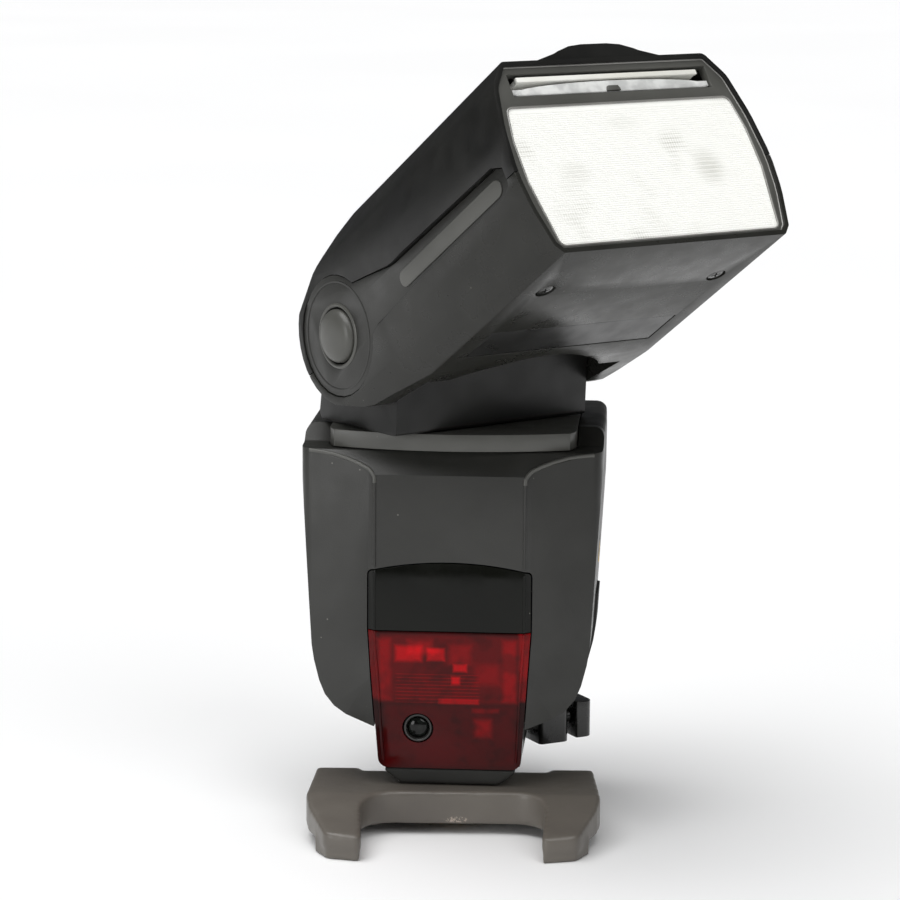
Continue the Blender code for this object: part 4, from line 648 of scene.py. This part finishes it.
def repeat_tree(name, ring):
    """Node tree that copies the modifier's own shape along a line, or round local Z."""
    tree = bpy.data.node_groups.new(name, "GeometryNodeTree")
    face = tree.interface
    face.new_socket("Geometry", in_out="OUTPUT", socket_type="NodeSocketGeometry")
    face.new_socket("Geometry", in_out="INPUT", socket_type="NodeSocketGeometry")
    ids = {}
    wanted = [("Count", "NodeSocketInt"), ("Material", "NodeSocketMaterial")]
    wanted += [("Radius", "NodeSocketFloat")] if ring else [("Start", "NodeSocketVector"), ("Step", "NodeSocketVector")]
    for label, kind in wanted:
        ids[label] = face.new_socket(label, in_out="INPUT", socket_type=kind).identifier
    source = add(tree, "NodeGroupInput")
    if ring:
        points = add(tree, "GeometryNodeMeshCircle", links={"Vertices": source.outputs["Count"],
                                                           "Radius": source.outputs["Radius"]}).outputs[0]
        share = add(tree, "ShaderNodeMath", links={0: add(tree, "GeometryNodeInputIndex").outputs[0],
                                                   1: source.outputs["Count"]}, operation="DIVIDE").outputs[0]
        turn = add(tree, "ShaderNodeMath", {1: 2 * math.pi}, {0: share}, operation="MULTIPLY").outputs[0]
        rotation = add(tree, "ShaderNodeCombineXYZ", links={"Z": turn}).outputs[0]
        copies = add(tree, "GeometryNodeInstanceOnPoints", links={"Points": points, "Instance": source.outputs[0],
                                                                 "Rotation": rotation})
    else:
        points = add(tree, "GeometryNodeMeshLine", links={"Count": source.outputs["Count"],
                                                         "Start Location": source.outputs["Start"],
                                                         "Offset": source.outputs["Step"]}).outputs[0]
        copies = add(tree, "GeometryNodeInstanceOnPoints", links={"Points": points, "Instance": source.outputs[0]})
    real = add(tree, "GeometryNodeRealizeInstances", links={0: copies.outputs[0]})
    done = add(tree, "GeometryNodeSetMaterial", links={"Geometry": real.outputs[0],
                                                      "Material": source.outputs["Material"]})
    add(tree, "NodeGroupOutput", links={0: done.outputs[0]})
    return tree, ids


def prism_tree():
    """Node tree for the flash window's ridges: a triangular bar on each step, as wide as the window is there."""
    tree = bpy.data.node_groups.new("window_ridges", "GeometryNodeTree")
    face = tree.interface
    face.new_socket("Geometry", in_out="OUTPUT", socket_type="NodeSocketGeometry")
    ids = {}
    for label, kind in (("Count", "NodeSocketInt"), ("Pitch", "NodeSocketFloat"), ("Height", "NodeSocketFloat"),
                        ("Lowest", "NodeSocketFloat"), ("Half width", "NodeSocketFloat"),
                        ("Narrowing", "NodeSocketFloat"), ("Material", "NodeSocketMaterial")):
        ids[label] = face.new_socket(label, in_out="INPUT", socket_type=kind).identifier
    source = add(tree, "NodeGroupInput")
    start = add(tree, "ShaderNodeCombineXYZ", links={"Z": source.outputs["Lowest"]}).outputs[0]
    step = add(tree, "ShaderNodeCombineXYZ", links={"Z": source.outputs["Pitch"]}).outputs[0]
    points = add(tree, "GeometryNodeMeshLine", links={"Count": source.outputs["Count"], "Start Location": start,
                                                     "Offset": step}).outputs[0]
    bar = add(tree, "GeometryNodeMeshCylinder", {"Vertices": 6, "Radius": 0.5, "Depth": 2.0}).outputs["Mesh"]
    bar = add(tree, "GeometryNodeTransform", {"Rotation": (0, math.pi / 2, 0)}, {"Geometry": bar}).outputs[0]
    height = add(tree, "ShaderNodeSeparateXYZ", links={0: add(tree, "GeometryNodeInputPosition").outputs[0]})
    square = add(tree, "ShaderNodeMath", links={0: height.outputs["Z"], 1: height.outputs["Z"]},
                 operation="MULTIPLY").outputs[0]
    less = add(tree, "ShaderNodeMath", links={0: square, 1: source.outputs["Narrowing"]},
               operation="MULTIPLY").outputs[0]
    wide = add(tree, "ShaderNodeMath", links={0: source.outputs["Half width"], 1: less},
               operation="SUBTRACT").outputs[0]
    thick = add(tree, "ShaderNodeMath", {1: 2.0}, {0: source.outputs["Height"]}, operation="MULTIPLY").outputs[0]
    scale = add(tree, "ShaderNodeCombineXYZ", links={"X": wide, "Y": thick, "Z": source.outputs["Pitch"]}).outputs[0]
    copies = add(tree, "GeometryNodeInstanceOnPoints", links={"Points": points, "Instance": bar, "Scale": scale})
    real = add(tree, "GeometryNodeRealizeInstances", links={0: copies.outputs[0]})
    done = add(tree, "GeometryNodeSetMaterial", links={"Geometry": real.outputs[0],
                                                      "Material": source.outputs["Material"]})
    add(tree, "NodeGroupOutput", links={0: done.outputs[0]})
    return tree, ids


def repeat(obj, tree_and_ids, place, look, **inputs):
    """Applies a repeating tree to a shape and turns the result into a plain mesh at place."""
    tree, ids = tree_and_ids
    copier = obj.modifiers.new("repeat", "NODES")
    copier.node_group = tree
    for label, value in inputs.items():
        copier[ids[label.replace("_", " ")]] = value
    copier[ids["Material"]] = finish_of(look)
    obj.update_tag()
    bake(obj)
    obj.data.transform(place)
    return obj


# ---------------------------------------------------------------- operators


class SPEEDLIGHT_OT_head_covers(Operator):
    """Upper and lower covers of the tilting head"""
    bl_idname = "speedlight.head_covers"
    bl_label = "Head covers"

    def execute(self, context):
        for node in ("head_upper_shell", "head_lower_shell"):
            # The upper cover takes the darker copy of the polycarbonate as painted shade.
            refined(node, sizes().cover_edge, look="worn" if node == "head_lower_shell" else "dark")
        return {"FINISHED"}


class SPEEDLIGHT_OT_head_sides(Operator):
    """Hinge trims with their raised bars and rings, and the domed tilt lock button"""
    bl_idname = "speedlight.head_sides"
    bl_label = "Head sides"

    def execute(self, context):
        for side, name in ((-1, "left"), (1, "right")):
            refined("hinge_trim_" + name, sizes().small_edge * 0.6, segments=2)
            place = side_place(side)
            bar = plate(f"grip_bar_{name}", [(a + 52.6, b - 1.5) for a, b in stadium(45.5, 4.3)], -0.25, 0.38, place)
            settle(soften(bar, 0.3 * MM, 4, 50), "head", "frame", look="frame")
            # The ring takes the lighter frame finish as a painted highlight round the lock button.
            ring = [(6.85, -0.2), (6.9, 0.16), (7.15, 0.34), (7.5, 0.34), (7.8, 0.12), (7.85, -0.2)]
            settle(lathe(f"button_ring_{name}", ring, place, 72), "head", "frame")
            rim = [(12.55, -0.1), (12.6, 0.07), (12.85, 0.12), (13.1, 0.07), (13.15, -0.1)]
            settle(lathe(f"hinge_ring_{name}", rim, place, 96), "head", "shell")
        dome = [(0, 2.28), (1.2, 2.26), (2.6, 2.16), (3.9, 1.98), (4.9, 1.72), (5.6, 1.38), (6.1, 0.9), (6.38, 0.3),
                (6.45, -0.6), (6.45, -2.3), (0, -2.3)]
        # The lock button's dome takes the lighter frame finish as a painted highlight.
        settle(lathe("tilt_lock_dome", dome, side_place(-1), 72), "tilt_lock_button", "gloss", "tilt_lock_button",
               look="frame", smooth=60)
        return {"FINISHED"}


class SPEEDLIGHT_OT_head_front(Operator):
    """Front frame, ridged flash window, clear wide panel and white catch-light panel"""
    bl_idname = "speedlight.head_front"
    bl_label = "Head front"

    def execute(self, context):
        refined("front_frame", sizes().small_edge * 1.4)
        refined("fresnel_window", sizes().small_edge, look="prisms")
        holder = new_object("flash_window_ridges", bpy.data.meshes.new("flash_window_ridges"))
        pitch = sizes().ridge_pitch
        count = int(33.2 * MM / pitch)
        place = HEAD @ Matrix.Translation((0, -LENS_FRONT * MM, 0))
        repeat(holder, prism_tree(), place, "prisms", Count=count, Pitch=pitch, Height=sizes().ridge_height,
               Lowest=-20.3 * MM, Half_width=33.6 * MM, Narrowing=7.0)
        settle(holder, "head", "clear", look="prisms", smooth=15)
        self.rims()
        self.panels()
        return {"FINISHED"}

    def rims(self):
        """Beads round the front frame and round the window, in a glossy light grey that is a painted highlight along
        the rims.
        """
        for node, name, out in (("front_frame", "frame_rim", 0.25), ("fresnel_window", "window_rim", 0.1)):
            loop = front_outline(node)
            middle = sum(loop, Vector((0, 0))) / len(loop)
            spots = [point + (point - middle).normalized() * out * MM for point in loop]
            place = HEAD @ Matrix.Translation((0, -(LENS_FRONT + 0.1) * MM, 0))
            path = [(spot.x / MM, 0, spot.y / MM) for spot in spots]
            bead = tube(name, path + path[:1], 0.26 * MM, place)
            settle(bead, "head", "frame", look="rim", smooth=60)

    def panels(self):
        front = facing((0, 0, 0), (0, -1, 0), (0, 0, 1))
        wide = refined("wide_panel", 0.15 * MM, segments=2)
        eye = [(-27.6, 16.7), (27.6, 16.7), (27.6, 17.6)]
        eye += [(27.6 * math.cos(math.radians(t)), 17.6 + 2.1 * math.sin(math.radians(t))) for t in range(10, 180, 10)]
        eye += [(-27.6, 17.6)]
        lip = plate("wide_panel_lip", eye, 80.6, 81.9, HEAD @ front)
        settle(soften(lip, 0.25 * MM, 3), "wide_panel", "clear")
        tab = plate("wide_panel_tab", [(-2.0, 16.8), (2.0, 16.8), (1.5, 18.1), (-1.5, 18.1)], 81.5, 82.5, HEAD @ front)
        settle(soften(tab, 0.2 * MM, 2), "wide_panel", "frame")
        refined("catchlight_panel", 0.12 * MM, segments=2)
        lip = plate("catchlight_lip", [(-26.2, 20.1), (26.2, 20.1), (26.2, 21.35), (-26.2, 21.35)], 81.2, 82.1,
                    HEAD @ front)
        settle(soften(lip, 0.15 * MM, 2), "catchlight_panel", "white")
        return wide


class SPEEDLIGHT_OT_head_underside(Operator):
    """Cross-recess screws and the plain label plate under the head"""
    bl_idname = "speedlight.head_underside"
    bl_label = "Head underside"

    def execute(self, context):
        place = HEAD @ Matrix.Translation((0, -64 * MM, HEAD_UNDER * MM)) @ Matrix.Rotation(math.pi, 4, "X")
        screw = lathe("head_screws", [(0, -0.1), (1.5, -0.16), (1.95, -0.3), (2.12, -0.55), (2.12, -0.85), (0, -0.85)],
                      Matrix.Identity(4), 32)
        for turn in (0, 90):
            slot = plate("recess", [(-1.15, -0.2), (1.15, -0.2), (1.15, 0.2), (-1.15, 0.2)], -0.6, 0.2,
                         Matrix.Rotation(math.radians(turn + 25), 4, "Z"))
            carve(screw, slot)
        repeat(screw, repeat_tree("screw_pair", False), place, "gloss", Count=2, Start=(-25 * MM, 0, 0),
               Step=(50 * MM, 0, 0))
        settle(screw, "head", "steel", "head_screw_1", "head_screw_2", look="gloss")
        refined("rating_plate", 0.1 * MM, segments=1)
        return {"FINISHED"}


class SPEEDLIGHT_OT_neck(Operator):
    """Swivelling neck block and the plate it turns on"""
    bl_idname = "speedlight.neck"
    bl_label = "Neck"

    def execute(self, context):
        # The neck block takes the darker copy of the polycarbonate as painted shade.
        refined("swivel_base", sizes().cover_edge, look="dark")
        # The neck plate takes the lighter frame finish as a painted highlight on its band.
        refined("neck_plate", sizes().cover_edge * 0.9, look="frame")
        return {"FINISHED"}


class SPEEDLIGHT_OT_body_covers(Operator):
    """Front and rear covers of the body, with the beads down both sides of the front panel"""
    bl_idname = "speedlight.body_covers"
    bl_label = "Body covers"

    def execute(self, context):
        refined("front_cover", sizes().cover_edge)
        refined("rear_cover", sizes().cover_edge * 0.4)
        radius = sizes().bead_radius
        for side, name in ((-1, "left"), (1, "right")):
            x = side * 17.9
            path = [(x, BODY_FRONT + 0.05, 87.6), (x, BODY_FRONT + 0.02, 76), (x, BODY_FRONT + 0.02, 66.2)]
            settle(tube(f"panel_bead_{name}", path, radius), "flash_body", "shell", smooth=60)
            # The shoulder roll takes the lighter frame finish as a painted highlight along the wings' top edge.
            roll = [(side * 34.0, -20.15, 93.35), (side * 31.0, -20.75, 93.1), (side * 28.0, -21.3, 92.7),
                    (side * 24.5, -22.15, 91.8), (side * 21.5, -23.0, 90.75), (side * 19.4, -23.8, 89.75),
                    (side * 18.5, -24.5, 88.9), (side * 17.95, -24.85, 87.9), (x, BODY_FRONT + 0.05, 86.6)]
            settle(tube(f"shoulder_roll_{name}", roll, 0.5 * MM), "flash_body", "shell", look="frame", smooth=60)
            path = [(x, BODY_FRONT + 0.12, 64.8), (x, BODY_FRONT + 0.12, SPLIT_Z + 0.3)]
            settle(tube(f"sensor_bead_{name}", path, radius), "flash_body", "dark_window", smooth=60)
            path = [(x, BODY_FRONT + 0.02, SPLIT_Z - 0.2), (side * 17.75, BODY_FRONT + 0.15, 46),
                    (side * 17.3, -24.05, 40), (side * 16.75, -22.6, 30), (side * 16.1, -20.75, 17.6)]
            settle(tube(f"window_bead_{name}", path, radius), "flash_body", "red_window", smooth=60)
        return {"FINISHED"}


class SPEEDLIGHT_OT_windows(Operator):
    """Smoked sensor window, red focus window and the round metering lens"""
    bl_idname = "speedlight.windows"
    bl_label = "Front windows"

    def execute(self, context):
        refined("sensor_window", sizes().small_edge)
        refined("af_window", sizes().small_edge)
        place = facing((-7.6, -21.0, 26.0), (0, -1, 0), (0, 0, 1))
        ring = [(2.55, -0.6), (2.7, 0.45), (2.95, 0.7), (3.3, 0.7), (3.55, 0.4), (3.6, -3.0), (2.55, -3.0)]
        settle(lathe("metering_ring", ring, place, 64), "flash_body", "gloss")
        lens = [(0, 0.45), (0.8, 0.4), (1.6, 0.22), (2.2, -0.05), (2.5, -0.35), (2.5, -2.4), (0, -2.4)]
        settle(lathe("metering_dome", lens, place, 48), "flash_body", "lens", "metering_sensor", smooth=60)
        return {"FINISHED"}


class SPEEDLIGHT_OT_rear_controls(Operator):
    """Buttons, ribbed dial and switch, lamp and display on the rear"""
    bl_idname = "speedlight.rear_controls"
    bl_label = "Rear controls"

    def execute(self, context):
        for node in ("light_button", "mode_button", "sync_button", "zoom_button", "set_button", "pilot_button",
                     "confirm_lamp", "select_dial", "power_switch"):
            refined(node, 0.15 * MM, segments=2)
        refined("display_window", 0.12 * MM, look="display", segments=2)
        rib = plate("dial_ribs", [(-0.22, -0.5), (0.22, -0.5), (0.16, 0.35), (-0.16, 0.35)], 0.2, 2.05,
                    Matrix.Rotation(-math.pi / 2, 4, "Z"))
        place = facing((0, BODY_REAR, 45.0), (0, 1, 0), (0, 0, 1))
        repeat(rib, repeat_tree("dial_ribs", True), place, "gloss", Count=sizes().dial_ribs, Radius=10.25 * MM)
        settle(rib, "select_dial", "gloss")
        rib = plate("switch_ribs", [(-2.8, -0.3), (2.8, -0.3), (2.8, 0.3), (-2.8, 0.3)], 1.7, 2.15)
        count = sizes().grip_ribs - 1
        place = facing((-22.0, BODY_REAR, 43.0), (0, 1, 0), (0, 0, 1))
        repeat(rib, repeat_tree("switch_ribs", False), place, "gloss", Count=count, Start=(0, -1.8 * MM, 0),
               Step=(0, 3.6 * MM / (count - 1), 0))
        settle(rib, "power_switch", "gloss")
        self.segments()
        return {"FINISHED"}

    def segments(self):
        """Plain bars and figure strokes of the liquid-crystal display."""
        place = facing((0, BODY_REAR, 77.0), (0, 1, 0), (0, 0, 1))
        strokes = []
        for column in range(3):
            left = 2.5 + column * 4.6
            for a, b, along in ((0, 0, 1), (0, 5.6, 1), (0, 2.8, 1), (0, 0, 0), (0, 2.8, 0), (2.8, 0, 0), (2.8, 2.8, 0)):
                size = (2.2, 0.45) if along else (0.45, 2.2)
                strokes.append((left + a + (0.3 if along else 0), -5.4 + b + (0 if along else 0.3), *size))
        strokes += [(-15.5 + i * 1.9, 3.6, 1.3, 1.6) for i in range(14)]
        strokes += [(-15.5, 0.4, 8.5, 0.5), (-15.5, -1.6, 6.0, 0.5), (-15.5, -5.6, 10.5, 2.6)]
        bm = bmesh.new()
        for a, b, width, height in strokes:
            spot = Matrix.Translation(((a + width / 2) * MM, (b + height / 2) * MM, 0.0))
            bmesh.ops.create_cube(bm, size=1.0, matrix=spot @ Matrix.Diagonal((width * MM, height * MM, 0.1 * MM, 1)))
        settle(from_bmesh("display_figures", bm, place), "flash_body", "display", look="label")


class SPEEDLIGHT_OT_side_doors(Operator):
    """Battery door with its latch and ribs, and the rubber terminal cover"""
    bl_idname = "speedlight.side_doors"
    bl_label = "Side doors"

    def execute(self, context):
        refined("battery_door", 0.1 * MM, segments=2)
        refined("battery_door_latch", 0.15 * MM, segments=2)
        refined("terminal_cover", 0.35 * MM)
        refined("bracket_bush", 0.15 * MM, segments=2)
        rib = plate("battery_door_ribs", stadium(11.0, 0.8, 5), -0.3, 0.32)
        count = sizes().grip_ribs
        place = facing((-35.6, 14.2, 62.5), (-1, 0, 0), (0, 0, 1))
        repeat(rib, repeat_tree("door_ribs", False), place, "shell", Count=count, Start=(0, -3.2 * MM, 0),
               Step=(0, 1.6 * MM, 0))
        settle(rib, "battery_door", "shell")
        return {"FINISHED"}


class SPEEDLIGHT_OT_foot(Operator):
    """Foot housing, rubber skirt, lock lever and its release button"""
    bl_idname = "speedlight.foot"
    bl_label = "Foot and lock"

    def execute(self, context):
        for node in ("foot_housing", "lock_lever", "lock_release_button"):
            refined(node, 0.3 * MM)
        melted("foot_skirt", "rubber", 0.4 * MM, 12)
        return {"FINISHED"}


class SPEEDLIGHT_OT_stand(Operator):
    """Mini stand with its soft moulded edges, and the brass tripod bush"""
    bl_idname = "speedlight.stand"
    bl_label = "Mini stand"

    def execute(self, context):
        melted("mini_stand", "stand", sizes().stand_grid, 14)
        refined("tripod_bush", 0.1 * MM, segments=1)
        return {"FINISHED"}


class SPEEDLIGHT_OT_plain_nodes(Operator):
    """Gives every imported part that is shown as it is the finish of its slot"""
    bl_idname = "speedlight.plain_nodes"
    bl_label = "Inner parts"

    def execute(self, context):
        for node, obj in frame["nodes"].items():
            obj.data.materials.clear()
            obj.data.materials.append(finish_of(SLOT_OF[node]))
        return {"FINISHED"}


class SPEEDLIGHT_OT_stage(Operator):
    """Pale floor, soft lights and the camera"""
    bl_idname = "speedlight.stage"
    bl_label = "Stage"

    def execute(self, context):
        scene = context.scene
        scene.view_settings.view_transform = "Standard"
        floor = plate("floor", [(-15000, -15000), (15000, -15000), (15000, 15000), (-15000, 15000)], -10.0, -0.01)
        paint, tree, shader, place = surface("pale_floor", Roughness=0.7, Specular_IOR_Level=0.2)
        share = ranged(tree, noise(tree, place, 0.4, 1.0), 0.3, 0.7)
        pale = tuple(colours().floor)
        tree.links.new(mixed(tree, share, pale, tuple(v * 0.985 for v in pale)), shader.inputs["Base Color"])
        floor.data.materials.append(paint)
        world = bpy.data.worlds.new("studio")
        world.use_nodes = True
        world.node_tree.nodes["Background"].inputs["Color"].default_value = (*linear("#DADDE2"), 1)
        world.node_tree.nodes["Background"].inputs["Strength"].default_value = 0.10
        scene.world = world
        self.light("SUN", "key_light", 2.8, (-0.5, -0.5, 2.6), 60)
        self.light("SUN", "left_light", 0.75, (-1.25, -1.55, 0.35), 26)
        self.light("SUN", "right_light", 0.75, (1.2, -1.6, 1.6), 35)
        self.camera(scene)
        return {"FINISHED"}

    def light(self, kind, name, strength, place, spread):
        lamp = bpy.data.lights.new(name, kind)
        lamp.energy = strength
        lamp.angle = math.radians(spread)
        obj = bpy.data.objects.new(name, lamp)
        obj.location = place
        obj.rotation_euler = (-Vector(place)).to_track_quat("-Z", "Y").to_euler()
        bpy.context.scene.collection.objects.link(obj)

    def camera(self, scene):
        camera = bpy.data.cameras.new("camera")
        camera.lens = 137.67
        camera.sensor_width = 36
        camera.clip_end = 50
        obj = bpy.data.objects.new("camera", camera)
        obj.location = (0.0574, -0.8247, 0.2393)
        aim = Vector((-0.00179, 0, 0.09033)) - obj.location
        obj.rotation_euler = (aim.to_track_quat("-Z", "Y").to_matrix() @ Matrix.Rotation(math.radians(0.35), 3, "Z")
                              ).to_euler()
        scene.collection.objects.link(obj)
        scene.camera = obj


OPERATORS = (
    SPEEDLIGHT_OT_stage, SPEEDLIGHT_OT_plain_nodes, SPEEDLIGHT_OT_head_covers, SPEEDLIGHT_OT_head_sides,
    SPEEDLIGHT_OT_head_front, SPEEDLIGHT_OT_head_underside, SPEEDLIGHT_OT_neck, SPEEDLIGHT_OT_body_covers,
    SPEEDLIGHT_OT_windows, SPEEDLIGHT_OT_rear_controls, SPEEDLIGHT_OT_side_doors, SPEEDLIGHT_OT_foot,
    SPEEDLIGHT_OT_stand,
)


class SPEEDLIGHT_PT_panel(Panel):
    """Lists the pieces of the speedlight and their sizes and colours"""
    bl_label = "Speedlight"
    bl_idname = "SPEEDLIGHT_PT_panel"
    bl_space_type = "VIEW_3D"
    bl_region_type = "UI"
    bl_category = "Speedlight"

    def draw(self, context):
        for group in (context.scene.speedlight_sizes, context.scene.speedlight_colours):
            box = self.layout.box()
            for key in group.__annotations__:
                box.prop(group, key)
        for operator in OPERATORS:
            self.layout.operator(operator.bl_idname)


CLASSES = (SpeedlightSizes, SpeedlightColours, *OPERATORS, SPEEDLIGHT_PT_panel)


def register():
    for entry in CLASSES:
        bpy.utils.register_class(entry)
    bpy.types.Scene.speedlight_sizes = PointerProperty(type=SpeedlightSizes)
    bpy.types.Scene.speedlight_colours = PointerProperty(type=SpeedlightColours)


def unregister():
    del bpy.types.Scene.speedlight_colours
    del bpy.types.Scene.speedlight_sizes
    for entry in reversed(CLASSES):
        bpy.utils.unregister_class(entry)


def main():
    register()
    for operator in OPERATORS:
        family, name = operator.bl_idname.split(".")
        getattr(getattr(bpy.ops, family), name)()


if __name__ == "__main__":
    main()
